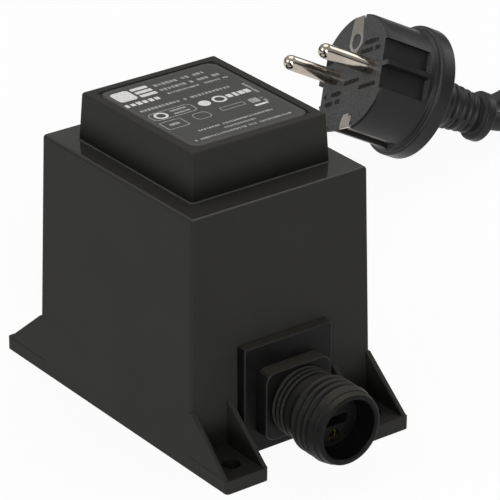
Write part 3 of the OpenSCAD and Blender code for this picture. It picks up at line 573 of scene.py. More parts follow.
SOCKET_LOW, SOCKET_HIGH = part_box("output_socket")
INSERT_LOW, INSERT_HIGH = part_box("socket_insert")
BORE_R = mounts["socket_mouth"]["dims"]["r_mm"] * MM
PLATE_WIDTH = SOCKET_HIGH.y - SOCKET_LOW.y
PLATE_HEIGHT = SOCKET_HIGH.z
NECK_LENGTH = 21.5 * MM
PAD_DEPTH = 4.4 * MM
PAD_WIDTH = 21 * MM
PAD_HEIGHT = 19.6 * MM
PAD_CORNER_R = 3 * MM
MOUTH_X = SOCKET_HIGH.x
PAD_FRONT = MOUTH_X - NECK_LENGTH
PLATE_FRONT = PAD_FRONT - PAD_DEPTH
WALL = 2.2 * MM
FLANGE = 2.4 * MM
FLANGE_BACK = SOCKET_LOW.x
FLANGE_FRONT = FLANGE_BACK + FLANGE
PLATE_BACK = FLANGE_FRONT + 0.9 * WALL
NOTCH_WIDTH = 22 * MM
NOTCH_HEIGHT = 27.7 * MM
FILL_LEVEL = 1.5 * MM
SOFT_EDGE = 0.3 * MM
FINE_CREST_R = 9.1 * MM
THREAD_CREST_R = 10.4 * MM
CONE_START = MOUTH_X - 15.7 * MM
CONE_END = MOUTH_X - 12.5 * MM
# From the mouth back to where the paler crests of the thread, partly rubbed and partly painted highlight, go
# over in those of the ring
RING_BACK = 5.3 * MM


# Surface effects that several materials share

# Dusty colour that faces looking up are mixed towards: partly dust, partly painted light from above
DUST_AND_TOP_LIGHT = (0.075, 0.066, 0.05, 1.0)


def moulded_surface():
    """Grain of moulded plastic or rubber, with soft patches of another shade and sheen, and a dusty colour
    on faces that look up, which is also painted light on them.
    """
    tree, given, result = new_tree(
        "moulded_surface", "ShaderNodeTree",
        {"Place": "Vector", "Grain size": "Float", "Patch size": "Float", "Dark": "Color",
         "Light": "Color", "Least roughness": "Float", "Most roughness": "Float", "Dust": "Float"},
        {"Colour": "Color", "Roughness": "Float", "Height": "Float"},
    )
    place = given["Place"]
    grain_scale = 1.0 / Value(given["Grain size"])
    grain = noise(place, grain_scale, Roughness=0.6)
    pits = Value(output_of(tree, "ShaderNodeTexVoronoi", Vector=place, Scale=grain_scale * 0.6))
    spread = noise(place, 1.0 / Value(given["Patch size"]), 4.0, Roughness=0.55).ramp(0.3, 0.7)
    speckle = grain.ramp(0.35, 0.75)
    bare = (spread * 0.7 + speckle * 0.3).mix(given["Dark"], given["Light"])
    # Faces that look up turn towards the dusty colour, as dust and as painted light from above
    dust_and_painted_top_light = axes(true_normal(tree))[2].ramp(0.6, 0.95) * speckle.ramp(0.0, 1.0, 0.6, 1.0)
    feed(
        result, Colour=(dust_and_painted_top_light * Value(given["Dust"])).mix(bare, DUST_AND_TOP_LIGHT),
        Roughness=spread.ramp(0.0, 1.0, given["Least roughness"], given["Most roughness"], soft=False),
        Height=grain + pits * 0.5,
    )
    return tree


MOULDED = moulded_surface()


# Materials

def grey(level, warmth=0.0):
    return (level * (1 + warmth / 5), level, level * (1 - 1.5 * warmth), 1.0)


def blank_material(name, **inputs):
    """A material with one Principled shader, and the place on the piece as its nodes see it."""
    material = bpy.data.materials.new(name)
    tree = cleared_tree(material)
    shader = add_node(tree, "ShaderNodeBsdfPrincipled", **inputs)
    add_node(tree, "ShaderNodeOutputMaterial", Surface=shader.outputs[0])
    return material, tree, shader, object_place(tree)


def add_bump(shader, height, strength, distance):
    feed(shader, Normal=output_of(
        shader.id_data, "ShaderNodeBump", Strength=strength, Distance=distance, Height=height
    ))


def moulded(name, dark, light, roughness, grain=0.3, depth=0.02, patch=14, strength=0.5, dust_and_top_light=0.0, **inputs):
    """Moulded plastic or rubber, with the sizes of its grain and patches and the grain's depth in mm."""
    material, tree, shader, place = blank_material(name, **inputs)
    surface = add_node(
        tree, "ShaderNodeGroup", {"node_tree": MOULDED}, Place=place, Grain_size=grain * MM,
        Patch_size=patch * MM, Dark=dark, Light=light, Least_roughness=roughness[0],
        Most_roughness=roughness[1], Dust=dust_and_top_light,
    ).outputs
    feed(shader, Base_Color=surface["Colour"], Roughness=surface["Roughness"])
    add_bump(shader, surface["Height"], strength, depth * MM)
    return material, tree, shader, place, surface


def plastic(*args, **inputs):
    return moulded(*args, **inputs)[0]


# Places of the foot screws along X and Y
SCREW_OFF = [mounts["foot_screws"]["dims"][f"spacing_{axis}_mm"] * MM / 2 for axis in "xy"]
# Height of the housing's ledge, which is smooth
LEDGE_Z = 70 * MM
# How far the painted shade at the block's foot reaches up, and the painted shade in a lug along X, along Y
# and up
FOOT_SHADE_TOP = 9 * MM
POCKET_X = 7 * MM
POCKET_Y = 5.8 * MM
POCKET_TOP = 15 * MM


def off_screws(place):
    """Distances along X and Y from the foot screws' centres."""
    return [abs(number) - off for number, off in zip(place, SCREW_OFF)]


def housing_material():
    """Charcoal housing: spark-eroded walls, a smoother ledge and top, painted shade at the block's foot and
    in the lugs, and a painted highlight on the rounded faces at the ledge.
    """
    depth = 0.04
    material, tree, shader, place, surface = moulded(
        "housing_plastic", grey(0.0245, 0.07), grey(0.03, 0.07), (0.5, 0.6), 0.55, depth, patch=22, dust_and_top_light=0.06
    )
    up = axes(true_normal(tree))[2]
    level = up.ramp(0.75, 0.95)
    x, y, z = axes(place)
    over_ledge = z - LEDGE_Z
    off_ledge = abs(over_ledge)
    gloss = level * off_ledge.fade(0.4 * MM, 0.8 * MM)
    # Painted shade: the block's walls get darker towards the ledge, where less light reaches them
    foot = over_ledge.ramp(0.0, FOOT_SHADE_TOP, 0.78, 0.0) * over_ledge.ramp(0.0, 0.1 * MM)
    foot = foot * up.fade(0.1, 0.3)
    # Painted highlight: a paler line on the sloped, rounded faces at the height of the ledge
    line = off_ledge.fade(1.0 * MM, 1.3 * MM) * up.ramp(0.6, 0.75) * up.fade(0.9, 0.97)
    off_x, off_y = off_screws((x, y))
    # Painted shade between the ribs of each lug, weaker on level faces and fading out upwards; with the
    # painted shade at the block's foot it takes the colour to near black
    pocket = off_x.fade(POCKET_X - 0.5 * MM, POCKET_X) * abs(off_y).fade(POCKET_Y - 0.4 * MM, POCKET_Y)
    pocket = pocket * z.ramp(6 * MM, POCKET_TOP, 0.8, 0.0) * level.ramp(0.0, 1.0, 1.0, 0.6)
    darker = foot.at_least(pocket).mix(surface["Colour"], grey(0.001))
    feed(
        shader, Base_Color=(line * 0.8).mix(darker, grey(0.04, 0.03)),
        Roughness=Value(surface["Roughness"]) - level * 0.08 - gloss * 0.36,
        Specular_IOR_Level=gloss * 0.14 + 0.08,
    )
    height = Value(surface["Height"]) * gloss.ramp(0.0, 1.0, 1.0, 0.06)
    add_bump(shader, height, 0.5, depth * MM)
    return material


def socket_material():
    """Socket moulding: darker than the housing, with the crests of its rings and thread paler: partly
    rubbed, partly painted highlight, and painted light further back.
    """
    # The socket's tops take half of the dusty colour: painted light where the housing keeps the lamps above
    # off them, and some dust
    material, tree, shader, place, surface = moulded(
        "socket_plastic", grey(0.0045, 0.02), grey(0.0065, 0.03), (0.42, 0.54), patch=5, dust_and_top_light=0.5,
        Specular_IOR_Level=0.11,
    )
    x, y, z = axes(place)
    z = z - AXIS_Z
    radius = (y * y + z * z).root()
    crest_r = x.ramp(CONE_END - 1 * MM, CONE_END, FINE_CREST_R, THREAD_CREST_R)
    on_crest = (radius - crest_r).ramp(0.0, 0.2 * MM) * x.ramp(PAD_FRONT + 0.1 * MM, PAD_FRONT + 0.3 * MM)
    # Painted light: the crests are paler further from the mouth, most on the fine rings and the waist, which
    # the wall and pad shade
    ring = x.ramp(MOUTH_X - RING_BACK, MOUTH_X - RING_BACK + 0.7 * MM, 1.0, 0.4)
    thread = x.ramp(CONE_START - 0.3 * MM, CONE_START + 0.3 * MM, 0.9, 0.35)
    pale = on_crest * ring * thread * noise(place, 1.5 * PER_MM).ramp(0.2, 0.6, 0.3, 1.0)
    # Painted shade: inside the bore the colour is darker and has none of the dusty tops
    in_bore = radius.fade(BORE_R + 0.1 * MM, BORE_R + 0.3 * MM) * x.ramp(PAD_FRONT, PAD_FRONT + 1 * MM)
    plain = in_bore.mix(surface["Colour"], grey(0.0035))
    feed(shader, Base_Color=pale.mix(plain, grey(0.031, 0.08)))
    return material


def plug_material():
    """Plug body, with the coarser grain of its face, which is much paler: partly its grain, partly painted
    light on the face.
    """
    material, tree, shader, place, surface = moulded(
        "plug_rubber", grey(0.0095, 0.01), grey(0.0145, 0.015), (0.34, 0.44), 0.35, 0.03, patch=7,
        Specular_IOR_Level=0.26,
    )
    facing = add_node(tree, "ShaderNodeVectorMath", {"operation": "DOT_PRODUCT"})
    plug_in(facing.inputs[0], true_normal(tree))
    plug_in(facing.inputs[1], PLUG_POINT)
    # The face that looks along the plug gets the paler colour, partly as painted light
    face = Value(facing.outputs["Value"]).ramp(0.9, 0.98)
    pale = face * noise(place, 1.4 * PER_MM, 2.0).ramp(0.2, 0.8, 0.4, 1.0)
    feed(shader, Base_Color=pale.mix(surface["Colour"], grey(0.095)))
    return material


def metal(name, colour, light, roughness, turned_finish=False):
    """Plated or drawn metal with fine streaks and faint stains."""
    material, tree, shader, place = blank_material(name, Metallic=1.0)
    stretch = (1.0, 1.0, 6.0) if turned_finish else (1.0, 6.0, 6.0)
    stretched = output_of(tree, "ShaderNodeMapping", Vector=place, Scale=stretch)
    streaks = noise(stretched, 4 * PER_MM)
    blot = noise(place, 0.14 * PER_MM, 4.0).ramp(0.35, 0.7)
    feed(shader, Base_Color=blot.mix(colour, light), Roughness=blot * 0.06 + streaks * 0.08 + roughness)
    add_bump(shader, streaks, 0.12, 0.02 * MM)
    return material


WAVES_AT_SCALE_ONE = 3.183


def banded(name, colour, light, roughness, pitch, axis, metallic=1.0):
    """Fine parallel bands, such as wound wire or stacked sheets."""
    material, tree, shader, place = blank_material(name, Metallic=metallic)
    bands = add_node(
        tree, "ShaderNodeTexWave", {"bands_direction": axis}, Vector=place,
        Scale=1 / pitch / WAVES_AT_SCALE_ONE, Distortion=0.4, Detail=2.0,
    )
    shade = Value(bands.outputs["Fac"])
    feed(shader, Base_Color=shade.mix(colour, light), Roughness=shade * 0.15 + roughness)
    add_bump(shader, shade, 0.5, pitch / 2)
    return material


def print_material(name, thin_level, full_level):
    """Pale screen print, thin enough in places for the foil to show through."""
    material, tree, shader, place = blank_material(name, Roughness=0.5)
    worn = noise(place, 2.6 * PER_MM)
    full = worn.ramp(0.42, 0.62)
    feed(shader, Base_Color=full.mix(grey(thin_level, 0.01), grey(full_level, 0.01)))
    add_bump(shader, worn, 0.1, 0.01 * MM)
    return material


# Reflection of matte plastic, lower than that of a smooth surface
DULL = {"Specular_IOR_Level": 0.22}
HOUSING = housing_material()
FOIL = plastic("label_foil", grey(0.024, 0.08), grey(0.031, 0.08), (0.36, 0.46), 0.25, 0.01, 9, 0.3)
PRINT = print_material("pale_print", 0.22, 0.42)
BOLD_PRINT = print_material("bold_print", 0.62, 0.78)
FAINT_PRINT = print_material("faint_print", 0.07, 0.12)
SOCKET = socket_material()
INSERT = plastic("insert_plastic", grey(0.003), grey(0.005), (0.45, 0.55), 0.25, 0.015, 4,
                 Specular_IOR_Level=0.12)
# Paler rounded edges: rubbed, and also a painted highlight where the roundings catch the light
EDGE_RUB_AND_HIGHLIGHT = plastic("rubbed_edge", grey(0.03, 0.03), grey(0.05, 0.03), (0.4, 0.55), patch=6, **DULL)
# Paler rounded edges of the socket's plate and pad: a painted highlight
SOCKET_EDGE_HIGHLIGHT = plastic("socket_edge", grey(0.012, 0.03), grey(0.02, 0.03), (0.4, 0.55), patch=6, **DULL)
RELIEF = plastic("relief_rubber", grey(0.01), grey(0.014), (0.5, 0.62), patch=5, **DULL)
SHEATH = plastic("sheath_rubber", grey(0.007), grey(0.011), (0.38, 0.5), 0.35, patch=9,
                 Specular_IOR_Level=0.35)
PLUG = plug_material()
TIE = plastic("tie_rubber", grey(0.02), grey(0.028), (0.45, 0.6), patch=4)
RESIN = plastic("potting_resin", grey(0.012), grey(0.02), (0.12, 0.3), 1.4, 0.05, patch=10)
BOBBIN = plastic("bobbin_nylon", grey(0.03), grey(0.04), (0.4, 0.5))
FUSE = plastic("fuse_ceramic", grey(0.55, 0.06), grey(0.62, 0.05), (0.4, 0.5), depth=0.01)
BRASS = metal("contact_brass", (0.62, 0.42, 0.13, 1), (0.78, 0.56, 0.22, 1), 0.2, turned_finish=True)
NICKEL = metal("pin_nickel", (0.44, 0.39, 0.33, 1), (0.56, 0.51, 0.45, 1), 0.06)
STRIP = metal("strip_nickel", (0.6, 0.55, 0.49, 1), (0.7, 0.66, 0.6, 1), 0.3)
TINNED = metal("tinned_steel", grey(0.6), grey(0.7), 0.28)
STEEL = banded("core_sheets", grey(0.22), grey(0.36), 0.35, 0.5 * MM, "Z")
COPPER = banded("winding_copper", (0.36, 0.12, 0.04, 1), (0.72, 0.3, 0.12, 1), 0.25, 0.4 * MM, "Y")
EARTH_WIRE = banded("wire_earth", (0.06, 0.27, 0.03, 1), (0.7, 0.62, 0.05, 1), 0.35, 2.4 * MM, "DIAGONAL",
                    metallic=0.0)


def tape(name, colour, light):
    return plastic(name, colour, light, (0.2, 0.3), 1.2, patch=6)


def insulation(name, colour, light):
    return plastic(name, colour, light, (0.35, 0.45), depth=0.01, patch=4)


NODE_FINISH = {
    "housing": HOUSING,
    "rating_label": FOIL,
    "socket_insert": INSERT,
    "socket_contacts": BRASS,
    "cord_grommet": RELIEF,
    "lead_sheath": SHEATH,
    "core_e_stack": STEEL,
    "core_i_stack": STEEL,
    "bobbin": BOBBIN,
    "primary_winding": COPPER,
    "secondary_winding": COPPER,
    "primary_tape": tape("tape_yellow", (0.62, 0.47, 0.06, 1), (0.75, 0.6, 0.12, 1)),
    "secondary_tape": tape("tape_cream", (0.66, 0.62, 0.5, 1), (0.76, 0.73, 0.62, 1)),
    "thermal_fuse": FUSE,
    "terminal_pins": TINNED,
    "live_wire": insulation("wire_brown", (0.1, 0.035, 0.012, 1), (0.14, 0.055, 0.02, 1)),
    "neutral_wire": insulation("wire_blue", (0.015, 0.06, 0.3, 1), (0.025, 0.08, 0.38, 1)),
    "earth_wire": EARTH_WIRE,
    "output_wire_a": insulation("wire_red", (0.38, 0.01, 0.01, 1), (0.48, 0.02, 0.02, 1)),
    "output_wire_b": insulation("wire_black", grey(0.012), grey(0.02)),
    "earth_tag": TINNED,
    "earth_screw": TINNED,
    "potting_compound": RESIN,
    "plug_pins": NICKEL,
    "earth_clips": STRIP,
    "earth_sleeve": STRIP,
}


for node_name, finish in NODE_FINISH.items():
    node = frame["nodes"][node_name]
    if not node.material_slots:
        node.data.materials.append(finish)
    for node_slot in node.material_slots:
        node_slot.material = finish


def shown(piece, materials, slot, *replaced):
    """Gives a made piece its materials and its body, and hides the parts that it replaces. Its slot is not
    used.
    """
    indices = [face.material_index for face in piece.data.polygons]
    piece.data.materials.clear()
    for material in materials:
        piece.data.materials.append(material)
    for face, index in zip(piece.data.polygons, indices):
        face.material_index = min(index, len(materials) - 1)
    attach(piece, "root")
    if replaced:
        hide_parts(*replaced)
    return piece


LABEL_LOW, LABEL_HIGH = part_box("rating_label")
LABEL_GAP = 0.1 * MM
LABEL_CORNER_R = 3 * MM
BLOCK_LENGTH = 50.6 * MM
BLOCK_WIDTH = 44.4 * MM
BLOCK_EDGE_R = 0.8 * MM
BEAD_R = 0.3 * MM


def foot_bead():
    """Fine bead where the raised block meets the ledge."""
    outline = rounded_outline(BLOCK_LENGTH, BLOCK_WIDTH, BLOCK_EDGE_R)
    corners = [(-0.5, -0.5), (1, -0.5), (1, 0.25), (0.25, 1), (-0.5, 1)]
    section = [(BEAD_R * out, BEAD_R * over) for out, over in corners]
    bead = placed(swept_ring("block_foot_bead", outline, section), shift(z=LEDGE_Z))
    # The bead takes the paler edge material, rubbed and with a painted highlight, as the light line at the
    # block's foot
    return shown(bead, [EDGE_RUB_AND_HIGHLIGHT], "housing_plastic")


def label_recess():
    """Cutter that squares three corners of the recess round the label, which has round corners itself."""
    left, right = LABEL_LOW.x - LABEL_GAP, LABEL_HIGH.x + LABEL_GAP
    front, back = LABEL_LOW.y - LABEL_GAP, LABEL_HIGH.y + LABEL_GAP
    outline = [(left, front), (right - LABEL_CORNER_R, front), (right, front + LABEL_CORNER_R),
               (right, back), (left, back)]
    levels = (LABEL_LOW.z, LABEL_HIGH.z + 2 * MM)
    return tidy_mesh(skinned("recess", [[(x, y, z) for x, y in outline] for z in levels]))


shown(soft_copy("housing", 0.22 * MM, [label_recess()]), [HOUSING, EDGE_RUB_AND_HIGHLIGHT], "housing_plastic", "housing")
foot_bead()
shown(soft_copy("cord_grommet", 0.15 * MM), [RELIEF, EDGE_RUB_AND_HIGHLIGHT], "grommet_rubber", "cord_grommet")


# Output socket: plate, pad and threaded neck as one moulding

# Sizes of the neck, by the names that its tree has for them
NECK = {
    "Root": PAD_FRONT - OVERLAP, "Mouth": MOUTH_X, "Axis height": AXIS_Z, "Neck radius": 8.75 * MM,
    "Waist radius": 9.3 * MM, "Core radius": 9.9 * MM, "Ring radius": 10.8 * MM, "Lip radius": 9.7 * MM,
    "Lip length": 2 * MM, "Ring length": 2.9 * MM, "Mouth edge": 0.7 * MM,
    "Ridge height": 0.8 * MM, "Pitch": 2.3 * MM,
    "First ridge": MOUTH_X - 10.7 * MM, "Last ridge": MOUTH_X - 6.1 * MM,
    "Fine ring height": 0.85 * MM, "Fine pitch": 1.65 * MM,
    "First fine ring": PAD_FRONT + 1.5 * MM, "Last fine ring": PAD_FRONT + 4.8 * MM,
    "Cone start": CONE_START, "Cone end": CONE_END, "Rows": 340, "Sides": 145,
}


def threaded_neck():
    """Tree for a neck turned about X: fine rings, a waist, a cone, a helical thread, a ring and a lip."""
    kinds = {name: "Int" if isinstance(size, int) else "Float" for name, size in NECK.items()}
    tree, given, end_form = new_form("threaded_neck", kinds)
    v = {name: Value(given[name]) for name in NECK}
    rows, mouth, edge, pitch, fine_pitch = (
        v[name] for name in ("Rows", "Mouth", "Mouth edge", "Pitch", "Fine pitch")
    )
    grid = output_of(
        tree, "GeometryNodeMeshGrid", Size_X=1.0, Size_Y=1.0, Vertices_X=v["Sides"], Vertices_Y=rows
    )
    spot = axes(output_of(tree, "GeometryNodeInputPosition"))
    angle = (spot[0] + 0.5) * math.tau
    row = (spot[1] + 0.5) * (rows - 1.0)
    # The first and the last row close the ends, and the others go from the root to the mouth
    inside = row.ramp(0.2, 0.8) * (rows - 1.0 - row).ramp(0.2, 0.8)
    x = v["Root"] + ((row - 1.0) / (rows - 3.0)).at_least(0.0).at_most(1.0) * (mouth - v["Root"])

    def wave(position, length):
        return (position / length * math.tau).cosine() * 0.5 + 0.5

    def window(first, last, margin):
        return x.ramp(first - margin, first - margin * 0.45) * x.fade(last + margin * 0.45, last + margin)

    waist_start = v["Last fine ring"] + fine_pitch * 0.5
    ring_end = mouth - v["Lip length"]
    ring_start = ring_end - v["Ring length"]
    radius = v["Neck radius"]
    for start, end, before, after, soft in (
        (waist_start, waist_start + fine_pitch * 0.25, "Neck", "Waist", True),
        (v["Cone start"], v["Cone end"], "Waist", "Core", False),
        (ring_start, ring_start + edge, "Core", "Ring", True),
    ):
        step = v[after + " radius"] - v[before + " radius"]
        radius = radius + step * x.ramp(start, end, soft=soft)
    taper = x.ramp(ring_start + edge, mouth, soft=False) * 0.82
    taper = taper + x.ramp(ring_end, ring_end + edge * 0.3) * 0.18
    radius = radius - (v["Ring radius"] - v["Lip radius"]) * taper
    fine = wave(x - v["First fine ring"], fine_pitch).ramp(0.35, 0.8) * v["Fine ring height"]
    radius = radius + fine * window(v["First fine ring"], v["Last fine ring"], fine_pitch * 0.6)
    helix = wave(x - v["First ridge"] - angle / math.tau * pitch + pitch * 0.5, pitch) ** 0.4
    radius = radius + helix * v["Ridge height"] * window(v["First ridge"], v["Last ridge"], pitch * 0.75)
    over_edge = ((x - (mouth - edge * 0.7)) / (edge * 0.7)).at_least(0.0)
    rounding = (1.0 - over_edge * over_edge).at_least(0.0).root()
    radius = (radius - (1.0 - rounding) * edge * 0.7) * inside
    point = vector_of(tree, X=x, Y=radius * angle.cosine(), Z=v["Axis height"] + radius * angle.sine())
    moved = output_of(tree, "GeometryNodeSetPosition", Geometry=grid, Position=point)
    return end_form(output_of(tree, "GeometryNodeMergeByDistance", Geometry=moved, Distance=0.001 * MM))


def output_socket():
    neck = finished(tidy_mesh(grown("output_socket_moulding", threaded_neck(), NECK, SOCKET)), 0)
    plate = placed(
        slab("plate", PLATE_WIDTH, PLATE_HEIGHT, PLATE_FRONT - PLATE_BACK, 0.4 * MM, SOFT_EDGE),
        shift(PLATE_BACK, 0, PLATE_HEIGHT / 2),
    )
    pad = placed(
        slab("pad", PAD_WIDTH, PAD_HEIGHT, PAD_DEPTH + OVERLAP, PAD_CORNER_R, SOFT_EDGE),
        shift(PLATE_FRONT - OVERLAP, 0, AXIS_Z),
    )
    web = box_between("web", (FLANGE_BACK + FLANGE / 2, -NOTCH_WIDTH / 2, 0),
                      (PLATE_FRONT - OVERLAP, NOTCH_WIDTH / 2, NOTCH_HEIGHT))
    flange_half = (PLATE_WIDTH - FLANGE / 2) / 2
    flange = box_between("flange", (FLANGE_BACK, -flange_half, FILL_LEVEL),
                         (FLANGE_FRONT, flange_half, PLATE_HEIGHT - FLANGE / 3))
    combined(neck, [plate, pad, web, flange], "UNION")
    groove_back = INSERT_HIGH.x - 6.6 * MM
    groove_r = BORE_R - 0.2 * MM
    seat_r = (INSERT_HIGH.y - INSERT_LOW.y) / 2 + 0.1 * MM
    bore = turned("bore", [
        (MOUTH_X + OVERLAP, 0), (MOUTH_X + OVERLAP, BORE_R + 1.3 * MM), (MOUTH_X - 0.5 * MM, BORE_R),
        (INSERT_HIGH.x, BORE_R), (INSERT_HIGH.x, groove_r), (groove_back, groove_r),
        (groove_back, seat_r), (INSERT_LOW.x, seat_r), (INSERT_LOW.x, 0),
    ], 144)
    combined(neck, [tidy_mesh(placed(bore, shift(z=AXIS_Z)))])
    return shown(tidy_mesh(neck), [SOCKET, SOCKET_EDGE_HIGHLIGHT], "socket_plastic", "output_socket")


output_socket()


# Print on the label, with no lettering: rows of small bars, outlines, plain shapes and a border

PRINT_DEPTH = 0.03 * MM


def print_row():
    """Tree for a row of small bars along Y, with gaps where words would end."""
    tree, given, end_form = new_form("print_row", {
        "Start": "Vector", "Length": "Float", "Height": "Float", "Pitch": "Float", "Depth": "Float",
        "Gap share": "Float", "Seed": "Int",
    })
    pitch = Value(given["Pitch"])
    line = output_of(
        tree, "GeometryNodeMeshLine", Count=Value(given["Length"]) / pitch,
        Start_Location=given["Start"], Offset=vector_of(tree, Y=pitch),
    )
    gap = add_node(tree, "FunctionNodeRandomValue", {"data_type": "BOOLEAN"},
                   Probability=given["Gap share"], Seed=given["Seed"])
    kept = output_of(tree, "GeometryNodeDeleteGeometry", Geometry=line, Selection=gap.outputs[3])
    size = vector_of(tree, X=given["Height"], Y=pitch * 0.72, Z=given["Depth"])
    widths = output_of(tree, "FunctionNodeRandomValue", {"data_type": "FLOAT_VECTOR"},
                       Min=(0.72, 0.75, 1.0), Max=(1.0, 1.25, 1.0), Seed=given["Seed"])
    bar = output_of(tree, "GeometryNodeMeshCube", Size=size)
    return end_form(output_of(tree, "GeometryNodeInstanceOnPoints", Points=kept, Instance=bar, Scale=widths))


def print_outline():
    """Tree for a printed line round a rectangle with round corners."""
    tree, given, end_form = new_form("print_outline", {
        "Length": "Float", "Width": "Float", "Corner radius": "Float", "Line": "Float", "Depth": "Float",
    })
    rectangle = "GeometryNodeCurvePrimitiveQuadrilateral"
    line = output_of(tree, rectangle, Width=given["Length"], Height=given["Width"])
    rounded = output_of(tree, "GeometryNodeFilletCurve", {"mode": "POLY"}, Curve=line,
                        Radius=given["Corner radius"], Count=8, Limit_Radius=True)
    section = output_of(tree, rectangle, Width=given["Line"], Height=given["Depth"])
    return end_form(output_of(tree, "GeometryNodeCurveToMesh", Curve=rounded, Profile_Curve=section))


# Rows of the print, in mm: distance from the label's rear edge, start and end across it, height, pitch
# and strength, which is the number of its material
PRINT_ROWS = [
    (11.4, 1.4, 13.8, 2.0, 1.9, 1), (4.4, 15.4, 32.4, 1.5, 1.25, 0), (7.7, 15.0, 34.4, 1.5, 1.2, 0),
    (10.6, 15.2, 35.0, 1.0, 0.85, 0), (16.2, 2.6, 32.0, 1.3, 1.15, 0), (21.2, 27.0, 35.2, 2.6, 1.9, 1),
    (34.8, 7.4, 32.0, 1.0, 0.85, 0), (37.0, 14.0, 25.0, 1.0, 0.85, 0), (39.4, 2.2, 34.4, 1.0, 0.85, 0),
]
# Short rows that run the other way: distance across the label, start and end from its rear edge
SIDE_ROWS = [(34.6, 17.0, 24.6, 0.9, 0.8, 0), (33.0, 27.0, 32.4, 0.9, 0.8, 0)]
# Plain outlines, in mm: place from the rear edge and across, size, corner radius, line and strength
PRINT_LINES = [
    (21.4, 8.6, 4.6, 13.4, 1.6, 0.3, 0), (21.4, 5.0, 3.2, 3.2, 1.55, 0.7, 1),
    (21.4, 23.6, 3.4, 3.4, 1.65, 0.7, 1), (27.6, 4.8, 4.8, 6.4, 0.5, 0.3, 0),
    (27.4, 13.6, 3.8, 4.6, 1.4, 0.25, 0), (27.2, 23.6, 1.8, 7.4, 0.4, 0.25, 0),
]
# Plain filled shapes, in mm: place from the rear edge and across, size, corner radius and strength
PRINT_BLOCKS = [
    (5.6, 4.4, 6.2, 5.6, 1.2, 1), (3.4, 10.6, 1.5, 5.2, 0.3, 1), (5.7, 10.6, 1.5, 5.2, 0.3, 1),
    (8.0, 10.6, 1.5, 5.2, 0.3, 1), (21.4, 18.8, 3.4, 3.4, 1.65, 1), (20.4, 11.0, 0.8, 5.0, 0.2, 0),
    (22.3, 11.0, 0.8, 5.0, 0.2, 0), (27.6, 4.8, 1.2, 3.0, 0.3, 0), (30.4, 30.6, 0.9, 4.2, 0.2, 1),
    (27.4, 30.4, 2.8, 2.8, 0.6, 0),
]


def joined(name, parts):
    """One piece from several meshes."""
    mesh = bmesh.new()
    for part in parts:
        mesh.from_mesh(part.data)
        bpy.data.objects.remove(part)
    data = bpy.data.meshes.new(name)
    mesh.to_mesh(data)
    mesh.free()
    return new_object(name, data)


ROW_TREE = print_row()


FIRST_SEED = 3
FACE_SEED = 20


def bar_row(seed, start, end, height, pitch, depth):
    """A row of small bars along Y, with its sizes in mm apart from its depth."""
    return grown(f"row_{seed}", ROW_TREE, {
        "Start": (0.0, start * MM, 0.0), "Length": (end - start) * MM, "Height": height * MM,
        "Pitch": pitch * MM, "Depth": depth, "Gap share": 0.14, "Seed": seed + FIRST_SEED,
    }, PRINT)


def label_print():
    line_tree = print_outline()
    corner_of_label = shift(LABEL_LOW.x, LABEL_LOW.y, LABEL_HIGH.z + PRINT_DEPTH / 2)
    lying = turn_about("Y", -math.pi / 2)
    across_label = turn_about("Z", -math.pi / 2)
    middle = (LABEL_HIGH - LABEL_LOW) / 2 / MM
    margin = 0.9
    parts = []

    def put(piece, down, across, strength, turn=Matrix()):
        placed(piece, corner_of_label @ shift(down * MM, across * MM) @ turn)
        parts.append(finished(piece, strength))

    def put_outline(down, across, length, width, corner_r, line, strength):
        put(grown("outline", line_tree, {
            "Length": length * MM, "Width": width * MM, "Corner radius": corner_r * MM, "Line": line * MM,
            "Depth": PRINT_DEPTH,
        }, PRINT), down, across, strength)

    for seed, (down, *sizes, strength) in enumerate(PRINT_ROWS):
        put(bar_row(seed, *sizes, PRINT_DEPTH), down, 0, strength)
    for seed, (across, *sizes, strength) in enumerate(SIDE_ROWS, len(PRINT_ROWS)):
        put(bar_row(seed, *sizes, PRINT_DEPTH), 0, across, strength, across_label)
    put_outline(middle.x, middle.y, 2 * (middle.x - margin), 2 * (middle.y - margin), 2.6, 0.18, 2)
    for row in PRINT_LINES:
        put_outline(*row)
    for down, across, length, width, corner_r, strength in PRINT_BLOCKS:
        block = slab("block", width * MM, length * MM, PRINT_DEPTH, corner_r * MM, 0.005 * MM, steps=1)
        put(block, down, across, strength, shift(z=-PRINT_DEPTH / 2) @ lying)
    piece = tidy_mesh(joined("label_print", parts))
    return shown(piece, [PRINT, BOLD_PRINT, FAINT_PRINT], "label_print")


label_print()


# Plug body with its grip ring, ribbed tail, guide recesses and clip channels

PLUG_EDGE = 0.8 * MM
SHOULDER_R = GRIP_D / 2 - 1.3 * MM
SHOULDER_LENGTH = 1.4 * MM
TAIL_ROOT_R = 8.3 * MM
TAIL_NECK_R = 7.2 * MM
TAIL_TIP_R = 5.9 * MM
TAIL_SMOOTH = 0.38 * TAIL_LENGTH
COLLAR_LENGTH = 3.4 * MM
TAIL_SLOTS = 5
PLUG_SIDES = 128
RIB_SWELL = 0.6 * MM
SLOT_WIDTH = 0.9 * MM
SLOT_DEPTH = 2.2 * MM
GUIDE_DEPTH = 3.2 * MM
GUIDE_WIDTH = 8 * MM
GUIDE_LENGTH = 0.85 * PLUG_LENGTH
GUIDE_RIB = 1.6 * MM
CHANNEL_WIDTH = 6 * MM
CHANNEL_DEPTH = 2.4 * MM
CLIP_WIDTH = 5 * MM
CLIP_REACH = 4.6 * MM
CLIP_THICKNESS = 0.8 * MM


